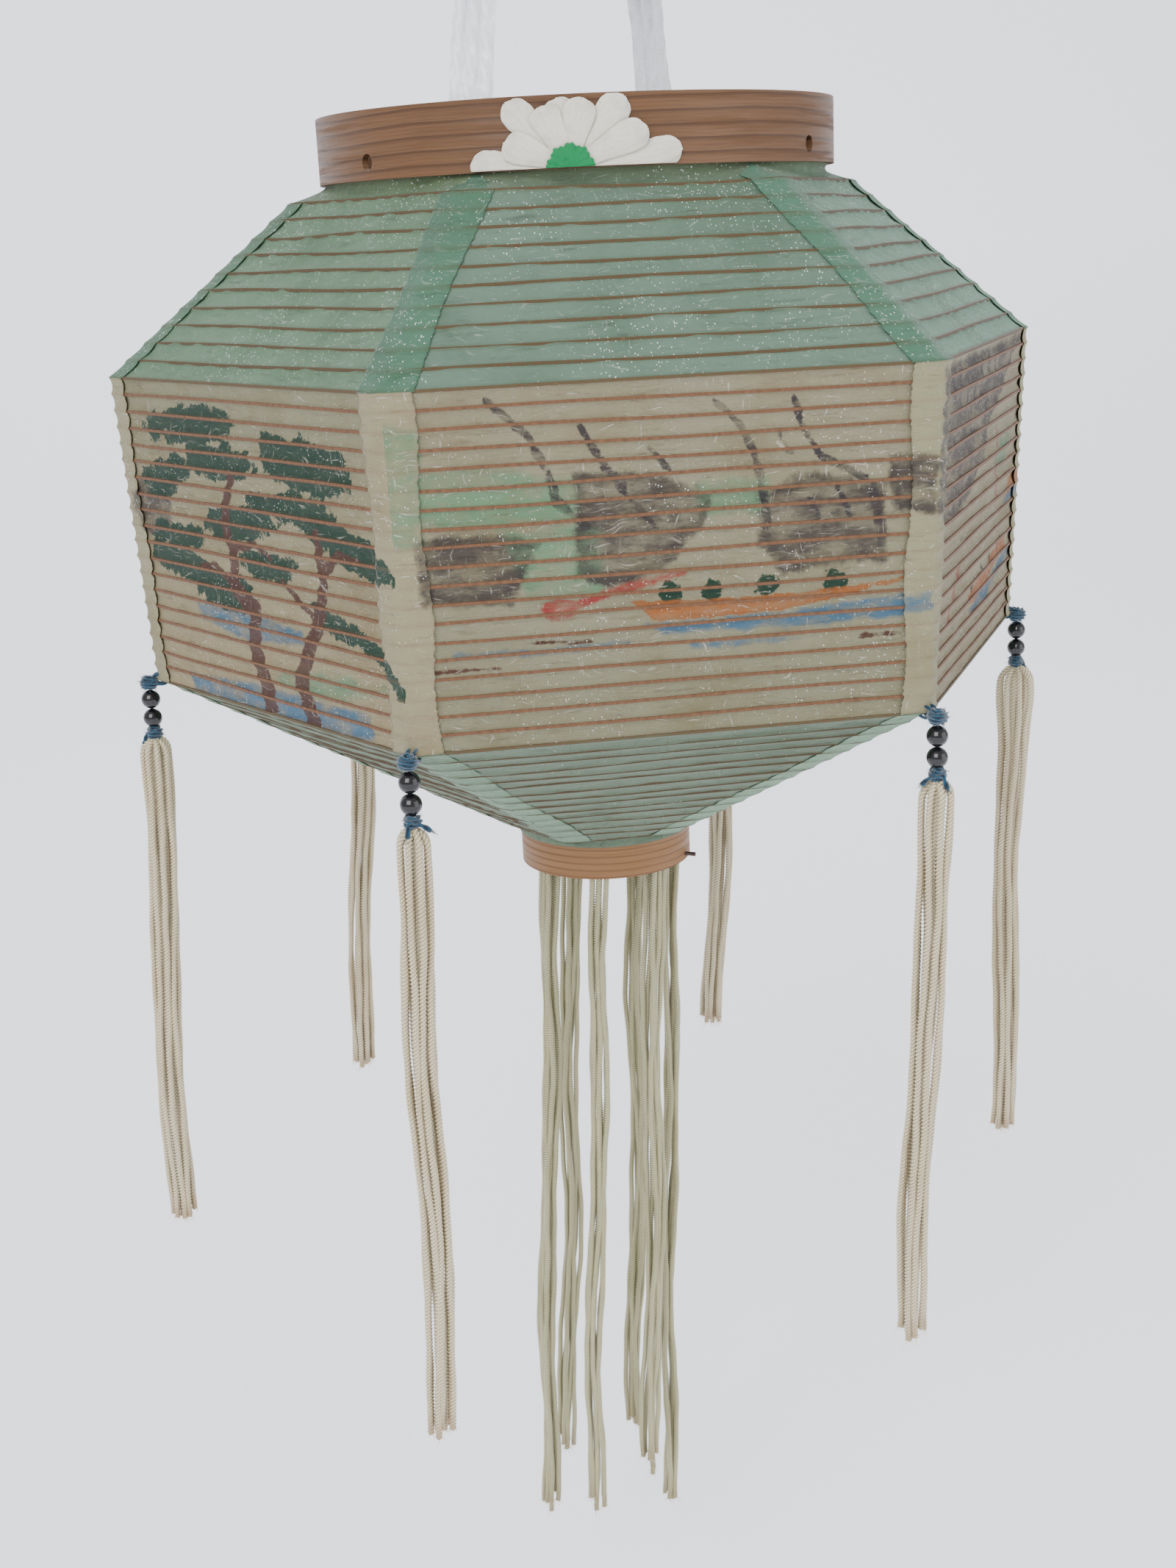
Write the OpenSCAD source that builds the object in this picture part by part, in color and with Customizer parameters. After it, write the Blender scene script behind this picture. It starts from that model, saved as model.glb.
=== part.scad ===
// Hexagonal folding paper lantern: bent cedar hoops, bamboo ribs under pleated paper,
// a half chrysanthemum on the top hoop, and cord tassels at its corners and below.
// Millimetres, +Z up. The origin is the hole in the hanging bar, on the lantern's axis.
// The hexagon's corners lie at 0, 60, 120... degrees, so a flat face looks along -Y.

/* [Hanger] */
// Height of the hanging bar's middle above the top hoop
hang_h = 45; // [30:1:60]
// Length of the hanging bar
bar_len = 119; // [110:1:124]
// Width of the hanging bar
bar_w = 15; // [12:1:20]
// Thickness of the hanging bar
bar_t = 5; // [4:0.5:8]
// Direction of the hanging bar, seen from above
bar_dir = 58; // [0:1:90]
// Diameter of the hole that the bar hangs by
bar_hole_d = 5; // [3:0.5:6]
// Width of the folded film straps
strap_w = 13; // [8:1:16]
// Thickness of the folded film straps
strap_t = 1; // [0.6:0.1:1.5]

/* [Top hoop] */
// Outside diameter of the top hoop
hoop_d = 162.4; // [158:0.2:166]
// Height of the top hoop
hoop_h = 19.6; // [16:0.1:24]
// Thickness of the bent cedar
hoop_wall = 2; // [1.5:0.1:2.2]
// Diameter of the three hanging holes
hoop_hole_d = 4.8; // [3:0.1:6]
// Height of the hanging holes above the hoop's lower edge
hoop_hole_z = 5; // [4:0.5:10]

/* [Flower] */
// Direction that the half flower faces
flower_dir = -100.5; // [-120:0.5:-60]
// Half width of a petal's round tip
petal_tip = 3.9; // [3:0.1:4]
// Thickness of a petal
petal_t = 0.9; // [0.5:0.1:1.2]
// Radius of the green half disc
centre_r = 6.4; // [5:0.1:8]

/* [Shade] */
// Height of the upper cone
upper_h = 54.5; // [45:0.5:65]
// Height of the straight middle
middle_h = 97.5; // [80:0.5:120]
// Height of the lower cone
lower_h = 60; // [50:0.5:70]
// Hexagon's corner radius, carried up to the top hoop
neck_r = 85.5; // [84:0.1:90]
// Hexagon's corner radius at the shoulder rib
shoulder_r = 151.5; // [140:0.5:160]
// Hexagon's corner radius at the lower corner rib
lower_r = 146.7; // [140:0.1:155]
// Hexagon's corner radius at the last rib
foot_r = 37; // [36.5:0.1:42]
// Ribs in the upper cone
upper_ribs_n = 10; // [6:1:14]
// Ribs in the straight middle
middle_ribs_n = 18; // [12:1:24]
// Ribs in the lower cone
lower_ribs_n = 13; // [8:1:16]
// Thickness of a bamboo rib
rib_t = 1.1; // [0.8:0.1:1.4]
// How far the paper sags in between two ribs
pleat = 1; // [0.4:0.1:2]
// Thickness of the pasted paper
paper_t = 0.4; // [0.3:0.1:0.8]

/* [Bottom hoop] */
// Outside diameter of the bottom hoop
base_d = 58.4; // [57:0.1:60]
// Height of the bottom hoop
base_h = 14.3; // [12:0.1:18]
// Thickness of the bottom hoop's cedar
base_wall = 1.8; // [1.4:0.1:2.2]
// Width of the candle board
board_w = 9; // [6:0.5:9]
// Thickness of the candle board
board_t = 2.5; // [2:0.5:3]
// Direction of the candle board, seen from above
board_dir = -31; // [-32:1:-24]
// Height of the candle spike above its board
spike_h = 16; // [10:1:25]

/* [Tassels] */
// Bead diameter
bead_d = 6.2; // [5:0.1:6.4]
// Distance from the lantern's axis to a corner tassel
tassel_r = 149.6; // [149:0.1:152]
// Thickest radius of a corner tassel
tassel_bundle = 5.8; // [4:0.1:6.5]
// Distance from the lantern's axis to a bottom tassel
fringe_r = 22.8; // [22.4:0.1:23.2]
// Thickest radius of a bottom tassel
fringe_bundle = 3.8; // [3:0.1:4.2]

/* [Hidden] */
$fn = 96;
eps = 0.05;
SIDES = 6;
gap = 0.3;

// Levels, from the bar's middle down
hoop_top = -hang_h;
hoop_foot = hoop_top - hoop_h;
shoulder_z = hoop_foot - upper_h;
lower_z = shoulder_z - middle_h;
base_top = lower_z - lower_h;
base_foot = base_top - base_h;

hoop_in = hoop_d/2 - hoop_wall;
base_in = base_d/2 - base_wall;
hoop_hole_dirs = [-148, -41, 85];

// Half chrysanthemum: direction from the hoop's right-hand edge, and length
petals = [[6, 32], [27, 23.5], [52, 24], [78, 18.6], [96, 18.8],
          [114, 18], [133, 25], [156, 19.5], [176, 28.5]];
petal_root = 5;
petal_neck = 1.3;

// Clear ends of the paper next to a rib that belongs to the next zone
edge = rib_t/2 + gap + eps;

// How far the paper's outside stands proud of a rib's middle, and a thread's way inside it
skin = rib_t/2 + paper_t;
inside = rib_t + 2*paper_t + pleat;

// Plain round ends of the paper: a collar inside the top hoop, a cuff around the bottom hoop
collar_h = 2.2;
cuff_h = 3;

// Tassel parts, measured down from the lower corner rib
knot_drop = 1.2;
knot_r = 2;
pivot_drop = 3.3;
bead_drop = [6.6, 6.7 + bead_d];
tie_drop = 17.9;
tie_r = 1.75;
bundle_drop = 19.8;
thread_r = 0.4;
bead_hole_r = 0.7;

// Each corner tassel: how far below the corner rib it ends, and the drift of its end
corner_tassels = [[199, [-3, 0.5]], [200, [-9, 1.5]], [202, [-12, 2]],
                  [195, [-9, 1.5]], [209, [-4, 0.5]], [198, [-7.5, 1]]];
// Each bottom tassel: direction, how far below the hoop it ends, and the drift of its end
fringe_tassels = [[-158, 258, [-13, 2]], [-106, 251, [-12, 2]], [-54, 240, [-9, 1.5]],
                  [0, 267, [-9, 1.5]], [52, 243, [-9, 1]], [112, 253, [-13, 2]]];
board_z = base_foot + 0.6;
ring_t = 1.5;
ring_z = board_z + board_t + ring_t/2 - eps;
fringe_top = ring_z - ring_t/2 - 0.5;
nail_r = 0.7;
nail_out = 3.6;

CORNERS = [for (i = [0:SIDES - 1]) i];

// ---- shared shapes ----

// Hexagonal ring of square bamboo, its corner radius at the bamboo's middle
module hex_rib(r, z) {
    translate([0, 0, z - rib_t/2])
        linear_extrude(rib_t) difference() {
            circle(r + rib_t/2, $fn = SIDES);
            circle(r - rib_t/2, $fn = SIDES);
        }
}

// Value at step i of n, on a straight run from a to b
function between(a, b, i, n) = a + (b - a)*i/n;

// Ridges and valleys of folded paper, as [height, corner radius] pairs
function pleats(z0, r0, z1, r1, bays) =
    [for (i = [0:2*bays]) [between(z0, z1, i, 2*bays),
                           between(r0, r1, i, 2*bays) - (i % 2)*pleat]];

function ring_points(z, r, sides) =
    [for (i = [0:sides - 1]) [r*cos(360*i/sides), r*sin(360*i/sides), z]];

// Rings of a wall, from the top down: pleated hexagons with a plain round end
function hexagons(list) = [for (q = list) [q[0], q[1], SIDES]];
function rounds(list) = [for (q = list) [q[0], q[1], 8*SIDES]];

function flip(faces) = [for (f = faces) [for (k = [len(f) - 1:-1:0]) f[k]]];

// Quads from ring p down to ring q
function strip(p, q) =
    [for (i = [0:len(p) - 1]) let (j = (i + 1) % len(p)) [p[i], p[j], q[j], q[i]]];

// Triangles from hexagon h down to round c
function fan(h, c) =
    [for (s = [0:SIDES - 1]) let (t = (s + 1) % SIDES)
        each concat([for (k = [0:7]) [h[k < 4 ? s : t], c[(8*s + k + 1) % len(c)], c[8*s + k]]],
                    [[h[s], h[t], c[8*s + 4]]])];

function join(p, q) = len(p) == len(q) ? strip(p, q)
    : len(p) < len(q) ? fan(p, q) : flip(fan(q, p));

// Thin wall through a list of [height, outside corner radius, sides], from the top down
module paper_wall(rings) {
    n = len(rings);
    starts = [for (k = 0, at = 0; k < n; at = at + rings[k][2], k = k + 1) at];
    half = starts[n - 1] + rings[n - 1][2];
    outer = [for (k = [0:n - 1]) [for (i = [0:rings[k][2] - 1]) starts[k] + i]];
    inner = [for (k = [0:n - 1]) [for (i = [0:rings[k][2] - 1]) half + starts[k] + i]];
    points = concat([for (q = rings) each ring_points(q[0], q[1], q[2])],
                    [for (q = rings) each ring_points(q[0], q[1] - paper_t/cos(180/q[2]), q[2])]);
    faces = concat([for (k = [0:n - 2]) each join(outer[k], outer[k + 1])],
                   [for (k = [0:n - 2]) each flip(join(inner[k], inner[k + 1]))],
                   strip(inner[0], outer[0]),
                   strip(outer[n - 1], inner[n - 1]));
    polyhedron(points, faces);
}

// One thread inside each corner, from height z0 and radius r0 down to z1 and r1
module corner_lines(z0, r0, z1, r1) {
    run = sqrt(pow(z1 - z0, 2) + pow(r1 - r0, 2));
    tilt = atan2(r1 - r0, z0 - z1);
    for (i = CORNERS)
        rotate(60*i) translate([r0, 0, z0]) rotate([0, 180 - tilt, 0])
            cylinder(r = thread_r*0.75, h = run, $fn = 16);
}

// Bundle of cords: a many-sided tube from p down, with its end drifting sideways
module bundle(p, length, drift, thick) {
    sides = 8;
    steps = 10;
    radius = function (t) thick*(t < 0.1 ? 0.7 + 3*t : (t > 0.9 ? 1.9 - t : 1));
    points = [for (k = [0:steps]) let (t = k/steps)
        each [for (q = ring_points(-length*t, radius(t), sides))
            p + q + [drift[0]*t, drift[1]*t, 0]]];
    ring = function (k) [for (i = [0:sides - 1]) k*sides + i];
    faces = concat([for (k = [0:steps - 1]) each strip(ring(k), ring(k + 1))],
                   [[for (i = [0:sides - 1]) sides - 1 - i]],
                   [[for (i = [0:sides - 1]) steps*sides + i]]);
    polyhedron(points, faces);
}

function at(r, direction, z) = [r*cos(direction), r*sin(direction), z];

// ---- hanger ----

module hanging_bar() {
    color("tan") rotate(bar_dir) difference() {
        cube([bar_len, bar_w, bar_t], center = true);
        cylinder(d = bar_hole_d, h = bar_t + 2, center = true);
    }
}

// Film strap: stuck inside the hoop, up to the bar's end and folded over it
module strap(direction) {
    wall_r = sqrt(pow(hoop_in + eps, 2) - pow(strap_w/2, 2));
    end_r = bar_len/2 - eps;
    top_z = bar_t/2 - eps;
    fold_len = 26;
    outer = [[wall_r, hoop_foot + 8.5], [wall_r, hoop_top - 1], [end_r + strap_t, -bar_t/2 - 1],
             [end_r + strap_t, top_z + strap_t], [end_r - fold_len, top_z + strap_t]];
    inner = [[end_r - fold_len, top_z], [end_r, top_z], [end_r, -bar_t/2 - 1.4],
             [wall_r - strap_t, hoop_top - 1.4], [wall_r - strap_t, hoop_foot + 8.5]];
    color("white", 0.6) rotate(direction) rotate([90, 0, 0])
        translate([0, 0, -strap_w/2]) linear_extrude(strap_w) polygon(concat(outer, inner));
}

// ---- top hoop and flower ----

module top_hoop() {
    color("peru") difference() {
        translate([0, 0, hoop_foot]) cylinder(d = hoop_d, h = hoop_h, $fn = 180);
        translate([0, 0, hoop_foot - 1]) cylinder(r = hoop_in, h = hoop_h + 2, $fn = 180);
        for (a = hoop_hole_dirs)
            rotate(a) translate([hoop_in - 3, 0, hoop_foot + hoop_hole_z]) rotate([0, 90, 0])
                cylinder(d = hoop_hole_d, h = hoop_wall + 6, $fn = 32);
    }
}

// Wall of the hoop's outside that holds one layer of the flower
module flower_layer(number) {
    inside = hoop_d/2 + eps + number*(petal_t + eps);
    translate([0, 0, hoop_foot + 0.2]) difference() {
        cylinder(r = inside + petal_t, h = hoop_h - 0.4, $fn = 180);
        translate([0, 0, -1]) cylinder(r = inside, h = hoop_h + 2, $fn = 180);
    }
}

// Stands a flat outline on the hoop, its origin at the flower's middle
module on_hoop() {
    rotate(flower_dir) translate([hoop_d/2 - 15, 0, hoop_foot]) rotate([90, 0, 90])
        linear_extrude(25) children();
}

// One petal: a narrow root that widens to a round tip; every second one lies on top
module petal(number) {
    direction = petals[number - 1][0];
    tip_at = petals[number - 1][1] - petal_tip;
    color("ivory") intersection() {
        flower_layer((number + 1) % 2);
        on_hoop() rotate(direction) {
            polygon([[petal_root, -petal_neck], [tip_at, -petal_tip],
                     [tip_at, petal_tip], [petal_root, petal_neck]]);
            translate([tip_at, 0]) circle(petal_tip, $fn = 24);
        }
    }
}

module flower_centre() {
    color("green") intersection() {
        flower_layer(2);
        on_hoop() circle(centre_r, $fn = 32);
    }
}

// ---- upper cone: hangs from the top hoop ----

module upper_ribs() {
    color("saddlebrown") for (i = [1:upper_ribs_n])
        hex_rib(between(neck_r, shoulder_r, i, upper_ribs_n + 1),
                between(hoop_foot, shoulder_z, i, upper_ribs_n + 1));
}

module upper_paper() {
    collar = hoop_in - eps;
    folds = pleats(hoop_foot, neck_r, shoulder_z + edge, shoulder_r + skin, upper_ribs_n + 1);
    color("darkseagreen") paper_wall(concat(
        rounds([[hoop_foot + collar_h, collar], [hoop_foot - gap, collar]]),
        hexagons([for (k = [2:len(folds) - 1]) folds[k]])));
}

module upper_threads() {
    color("wheat") corner_lines(hoop_foot - gap - 0.2, hoop_in - paper_t - 0.5,
                                shoulder_z + edge, shoulder_r - inside);
}

// ---- straight middle: hangs from the shoulder rib ----

module shoulder_rib() {
    color("saddlebrown") hex_rib(shoulder_r, shoulder_z);
}

module middle_ribs() {
    color("chocolate") for (i = [1:middle_ribs_n])
        hex_rib(between(shoulder_r, lower_r, i, middle_ribs_n + 1),
                between(shoulder_z, lower_z, i, middle_ribs_n + 1));
}

module middle_paper() {
    color("antiquewhite") paper_wall(hexagons(
        pleats(shoulder_z, shoulder_r + skin, lower_z + edge, lower_r + skin, middle_ribs_n + 1)));
}

module middle_threads() {
    color("wheat") corner_lines(shoulder_z - edge, shoulder_r - inside,
                                lower_z + edge, lower_r - inside);
}

// ---- lower cone: hangs from the lower corner rib ----

module corner_rib() {
    color("saddlebrown") hex_rib(lower_r, lower_z);
}

module lower_ribs() {
    color("saddlebrown") for (i = [1:lower_ribs_n + 1])
        hex_rib(between(lower_r, foot_r, i, lower_ribs_n + 1),
                between(lower_z, base_top + edge, i, lower_ribs_n + 1));
}

module lower_paper() {
    cuff = base_d/2 + gap + eps + paper_t;
    folds = pleats(lower_z, lower_r + skin, base_top + edge, foot_r + skin, lower_ribs_n + 1);
    color("darkseagreen") paper_wall(concat(
        hexagons(folds), rounds([[base_top - gap, cuff], [base_top - cuff_h, cuff]])));
}

module lower_threads() {
    color("wheat") corner_lines(lower_z - edge, lower_r - 2*inside,
                                base_top + 2, foot_r - inside);
}

// ---- corner tassels: a yarn knot on the rib, two beads, a yarn tie and doubled cords ----

// Yarn knot outside the rib's corner, with its turns over the rib
module corner_knot(number) {
    color("teal") rotate(60*(number - 1)) {
        translate([tassel_r, 0, lower_z - knot_drop]) sphere(knot_r, $fn = 32);
        translate([lower_r - 0.4, 0, lower_z - 0.3]) rotate([0, 90, 0])
            cylinder(r = 0.8, h = tassel_r - lower_r, $fn = 24);
    }
}

module beads(number) {
    color("black") for (drop = bead_drop)
        translate(at(tassel_r, 60*(number - 1), lower_z - drop)) difference() {
            sphere(d = bead_d, $fn = 48);
            cylinder(r = bead_hole_r, h = bead_d + 2, center = true, $fn = 24);
        }
}

module tassel_tie(number) {
    color("teal") translate(at(tassel_r, 60*(number - 1), lower_z)) {
        translate([0, 0, -tie_drop]) sphere(tie_r, $fn = 32);
        translate([0, 0, -tie_drop]) cylinder(r = thread_r, h = tie_drop - pivot_drop - eps, $fn = 16);
    }
}

module tassel(number) {
    spec = corner_tassels[number - 1];
    color("cornsilk") bundle(at(tassel_r, 60*(number - 1), lower_z - bundle_drop),
                             spec[0] - bundle_drop, spec[1], tassel_bundle);
}

// ---- bottom hoop, candle board and bottom tassels ----

module bottom_hoop() {
    color("burlywood") translate([0, 0, base_foot]) difference() {
        cylinder(d = base_d, h = base_h);
        translate([0, 0, -1]) cylinder(r = base_in, h = base_h + 2);
    }
}

module candle_board() {
    half = sqrt(pow(base_in - eps, 2) - pow(board_w/2, 2));
    color("burlywood") rotate(board_dir) translate([-half, -board_w/2, board_z])
        cube([2*half, board_w, board_t]);
}

// Nail driven up through the board; its lower part sits in the wood
module candle_spike() {
    shank = board_t + spike_h - 4;
    color("dimgray") translate([0, 0, board_z - 0.6]) {
        cylinder(r = 1.8, h = 0.6, $fn = 24);
        cylinder(r = 0.9, h = shank, $fn = 24);
        translate([0, 0, shank]) cylinder(r1 = 0.9, r2 = 0.15, h = 4.6, $fn = 24);
    }
}

// Two nails through the hoop into the ends of the board; one stands out
module board_nails() {
    color("dimgray") rotate(board_dir) for (side = [1, -1])
        translate([side*(base_in - 6), 0, board_z + board_t/2]) rotate([0, side*90, 0])
            cylinder(r = nail_r, h = 6 + base_wall + (side > 0 ? nail_out : 0.4), $fn = 24);
}

module fringe_ring() {
    color("wheat") translate([0, 0, ring_z]) rotate_extrude()
        translate([fringe_r, 0]) circle(d = ring_t, $fn = 16);
}

module fringe(number) {
    spec = fringe_tassels[number - 1];
    color("khaki") bundle(at(fringe_r, spec[0], fringe_top),
                          spec[1] + fringe_top - base_foot, spec[2], fringe_bundle);
}

hanging_bar();
strap(bar_dir - 180);  // strap_front
strap(bar_dir);  // strap_back
top_hoop();
for (i = [1:len(petals)])
    petal(i);
flower_centre();
upper_ribs();
upper_paper();
upper_threads();
shoulder_rib();
middle_ribs();
middle_paper();
middle_threads();
corner_rib();
lower_ribs();
lower_paper();
lower_threads();
for (i = [1:SIDES]) {
    corner_knot(i);
    beads(i);
    tassel_tie(i);
    tassel(i);
    fringe(i);
}
bottom_hoop();
candle_board();
candle_spike();
board_nails();
fringe_ring();
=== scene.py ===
import math
import random

import bpy
import numpy as np
from mathutils import Matrix, Vector


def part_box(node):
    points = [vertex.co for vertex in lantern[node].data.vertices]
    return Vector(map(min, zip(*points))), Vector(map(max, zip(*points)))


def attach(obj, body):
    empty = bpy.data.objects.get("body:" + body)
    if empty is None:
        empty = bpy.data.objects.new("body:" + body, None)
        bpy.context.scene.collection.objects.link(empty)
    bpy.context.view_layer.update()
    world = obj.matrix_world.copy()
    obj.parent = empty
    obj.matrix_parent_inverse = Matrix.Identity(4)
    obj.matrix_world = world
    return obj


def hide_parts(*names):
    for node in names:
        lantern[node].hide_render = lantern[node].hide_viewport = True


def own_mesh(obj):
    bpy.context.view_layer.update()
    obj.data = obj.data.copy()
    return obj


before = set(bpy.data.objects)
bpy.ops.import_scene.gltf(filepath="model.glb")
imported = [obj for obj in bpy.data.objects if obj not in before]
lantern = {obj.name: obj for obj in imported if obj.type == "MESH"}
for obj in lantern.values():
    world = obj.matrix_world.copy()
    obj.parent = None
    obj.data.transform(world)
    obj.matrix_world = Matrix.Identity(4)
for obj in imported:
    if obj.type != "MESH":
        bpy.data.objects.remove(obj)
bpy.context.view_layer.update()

mm = 0.001

# Levels and radii, all read from the frame
hoopLow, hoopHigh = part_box("top_hoop")
shoulderLow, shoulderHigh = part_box("shoulder_rib")
cornerLow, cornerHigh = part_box("corner_rib")
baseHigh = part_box("bottom_hoop")[1]
barLow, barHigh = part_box("hanging_bar")
ribThick = shoulderHigh.z - shoulderLow.z
shoulderZ = (shoulderLow.z + shoulderHigh.z) / 2
shoulderR = shoulderHigh.x - ribThick / 2
cornerZ = (cornerLow.z + cornerHigh.z) / 2
cornerR = cornerHigh.x - ribThick / 2
print("lantern: levels read from the frame")


# The camera stands in front, a little to the left and above the shoulder
camera = {"lens": 44.55, "film": 36, "yaw": 8.93, "pitch": 15.91, "roll": -2.64,
          "left": 105.7, "back": 638.1, "above": 37.7}  # mm from the shoulder's middle


def cameraTurn(yaw, pitch, roll):
    ahead = Vector((math.sin(yaw) * math.cos(pitch), math.cos(yaw) * math.cos(pitch), -math.sin(pitch)))
    right = Vector((math.cos(yaw), -math.sin(yaw), 0))
    up = right.cross(ahead)
    rightRolled = right * math.cos(roll) + up * math.sin(roll)
    upRolled = up * math.cos(roll) - right * math.sin(roll)
    return Matrix((rightRolled, upRolled, -ahead)).transposed()


cameraData = bpy.data.cameras.new("lanternCamera")
cameraData.lens = camera["lens"]
cameraData.sensor_width = camera["film"]
cameraObject = bpy.data.objects.new("lanternCamera", cameraData)
cameraObject.matrix_world = Matrix.LocRotScale(
    Vector((-camera["left"] * mm, -camera["back"] * mm, shoulderZ + camera["above"] * mm)),
    cameraTurn(*(math.radians(camera[k]) for k in ("yaw", "pitch", "roll"))).to_quaternion(), None)
bpy.context.scene.collection.objects.link(cameraObject)
bpy.context.scene.camera = cameraObject
print("lantern: camera placed")


# Small tools for shader trees
def paint(red, green, blue):  # a swatch in 0-255, as shaders want it
    return tuple((c / 12.92 if c <= 0.04045 else ((c + 0.055) / 1.055) ** 2.4)
                 for c in (red / 255, green / 255, blue / 255)) + (1.0,)


def put(tree, kind, inputs=None, **settings):
    node = tree.nodes.new("ShaderNode" + kind)
    for name, value in settings.items():
        setattr(node, name, value)
    for key, value in (inputs or {}).items():
        if isinstance(value, bpy.types.NodeSocket):
            tree.links.new(value, node.inputs[key])
        else:
            node.inputs[key].default_value = value
    return node


def calc(tree, work, first, second=0.0, clamp=False):
    return put(tree, "Math", {0: first, 1: second}, operation=work, use_clamp=clamp).outputs[0]


def mixed(tree, share, first, second, how="MIX"):
    return put(tree, "Mix", {0: share, 6: first, 7: second}, data_type="RGBA", blend_type=how).outputs[2]


def spread(tree, value, low, high, toLow=0.0, toHigh=1.0):  # eased step from low to high
    return put(tree, "MapRange", {0: value, 1: low, 2: high, 3: toLow, 4: toHigh},
               interpolation_type="SMOOTHSTEP").outputs[0]


def noise(tree, vector, scale, detail=4.0, rough=0.55, shift=0.0):
    return put(tree, "TexNoise", {"Vector": vector, "W": shift, "Scale": scale, "Detail": detail,
                                  "Roughness": rough}, noise_dimensions="4D").outputs[0]


def stretched(tree, vector, x, y, z):
    return put(tree, "Mapping", {"Vector": vector, "Scale": (x, y, z)}).outputs[0]


def mark(tree, name, socket=2):  # a value that the mesh carries; socket 0 gives its colour
    return put(tree, "Attribute", attribute_name=name).outputs[socket]


def effect(name, inputs, outputs):  # an empty node group with named sockets
    tree = bpy.data.node_groups.new(name, "ShaderNodeTree")
    for label, kind, value in inputs:
        socket = tree.interface.new_socket(label, in_out="INPUT", socket_type="NodeSocket" + kind)
        if value is not None:
            socket.default_value = value
    for label, kind in outputs:
        tree.interface.new_socket(label, in_out="OUTPUT", socket_type="NodeSocket" + kind)
    return tree, tree.nodes.new("NodeGroupInput").outputs, tree.nodes.new("NodeGroupOutput").inputs


def use(tree, group, inputs):
    return put(tree, "Group", inputs, node_tree=group).outputs


def newMaterial(name, **surface):
    material = bpy.data.materials.new(name)
    material.use_nodes = True
    tree = material.node_tree
    shader = tree.nodes["Principled BSDF"]
    for key, value in surface.items():
        shader.inputs[key].default_value = value
    return material, tree, shader


def bumpInto(tree, shader, height, strength, depth):
    bump = put(tree, "Bump", {"Height": height, "Strength": strength, "Distance": depth})
    tree.links.new(bump.outputs[0], shader.inputs["Normal"])


# Effects that several materials share
def makeBrushEdge():  # wet edge of a brush mark, from the distance that the paper carries
    tree, got, give = effect("brushEdge", [
        ("Vector", "Vector", None), ("Distance", "Float", 0.0), ("Ragged", "Float", 1.0),
        ("Soft", "Float", 0.5), ("Grain", "Float", 60.0), ("Shift", "Float", 0.0)],
        [("Mask", "Float"), ("Rim", "Float")])
    rough = noise(tree, got["Vector"], got["Grain"], 6.0, 0.65, got["Shift"])
    moved = calc(tree, "MULTIPLY", calc(tree, "SUBTRACT", rough, 0.5), got["Ragged"])
    edge = calc(tree, "ADD", got["Distance"], moved)
    far = calc(tree, "MULTIPLY", got["Soft"], -1.0)
    tree.links.new(spread(tree, edge, far, got["Soft"], 1.0, 0.0), give["Mask"])
    inner = spread(tree, edge, calc(tree, "MULTIPLY", got["Soft"], -4.0), far)
    outer = spread(tree, edge, far, got["Soft"], 1.0, 0.0)
    tree.links.new(calc(tree, "MULTIPLY", inner, outer), give["Rim"])
    return tree


def makeFibreMottle():  # long pale fibres and cloudy tone of hand-made paper
    tree, got, give = effect("fibreMottle", [
        ("Vector", "Vector", None), ("Cloud", "Float", 8.0), ("Fibre", "Float", 60.0),
        ("Shift", "Float", 0.0)], [("Tone", "Float"), ("Fibres", "Float"), ("Height", "Float")])
    cloud = noise(tree, got["Vector"], got["Cloud"], 5.0, 0.6, got["Shift"])
    swirl = put(tree, "TexNoise", {"Vector": got["Vector"], "Scale": 14.0, "Detail": 2.0}).outputs[1]
    small = put(tree, "VectorMath", {0: swirl, 1: (0.05, 0.05, 0.05)}, operation="MULTIPLY").outputs[0]
    bent = put(tree, "VectorMath", {0: got["Vector"], 1: small}, operation="ADD")
    lineA = noise(tree, stretched(tree, bent.outputs[0], 1.0, 9.0, 1.0), got["Fibre"], 2.0, 0.5, got["Shift"])
    lineB = noise(tree, stretched(tree, bent.outputs[0], 7.0, 1.0, 1.0), got["Fibre"], 2.0, 0.5, got["Shift"])
    fibres = calc(tree, "MAXIMUM", spread(tree, lineA, 0.6, 0.72), spread(tree, lineB, 0.63, 0.74))
    tree.links.new(cloud, give["Tone"])
    tree.links.new(fibres, give["Fibres"])
    grain = noise(tree, got["Vector"], calc(tree, "MULTIPLY", got["Fibre"], 6.0), 3.0, 0.7, got["Shift"])
    tree.links.new(calc(tree, "ADD", fibres, grain), give["Height"])
    return tree


def makeWoodGrain():  # growth lines along a thin board, with pores
    tree, got, give = effect("woodGrain", [
        ("Vector", "Vector", None), ("Lines", "Float", 5.0), ("Waver", "Float", 0.4)],
        [("Growth", "Float"), ("Pores", "Float"), ("Height", "Float")])
    waver = noise(tree, got["Vector"], 1.2, 3.0, 0.5)
    bend = calc(tree, "MULTIPLY", calc(tree, "SUBTRACT", waver, 0.5), got["Waver"])
    across = put(tree, "SeparateXYZ", {0: got["Vector"]}).outputs[2]
    phase = calc(tree, "MULTIPLY", calc(tree, "ADD", across, bend), got["Lines"])
    saw = calc(tree, "FRACT", phase)
    late = calc(tree, "MULTIPLY", spread(tree, saw, 0.6, 0.92), spread(tree, saw, 0.93, 1.0, 1.0, 0.0))
    upright = stretched(tree, got["Vector"], 1.0, 1.0, 14.0)
    pores = spread(tree, noise(tree, upright, 6.0, 5.0, 0.7), 0.45, 0.75)
    tree.links.new(late, give["Growth"])
    tree.links.new(pores, give["Pores"])
    tree.links.new(calc(tree, "ADD", late, calc(tree, "MULTIPLY", pores, 0.7)), give["Height"])
    return tree


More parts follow.
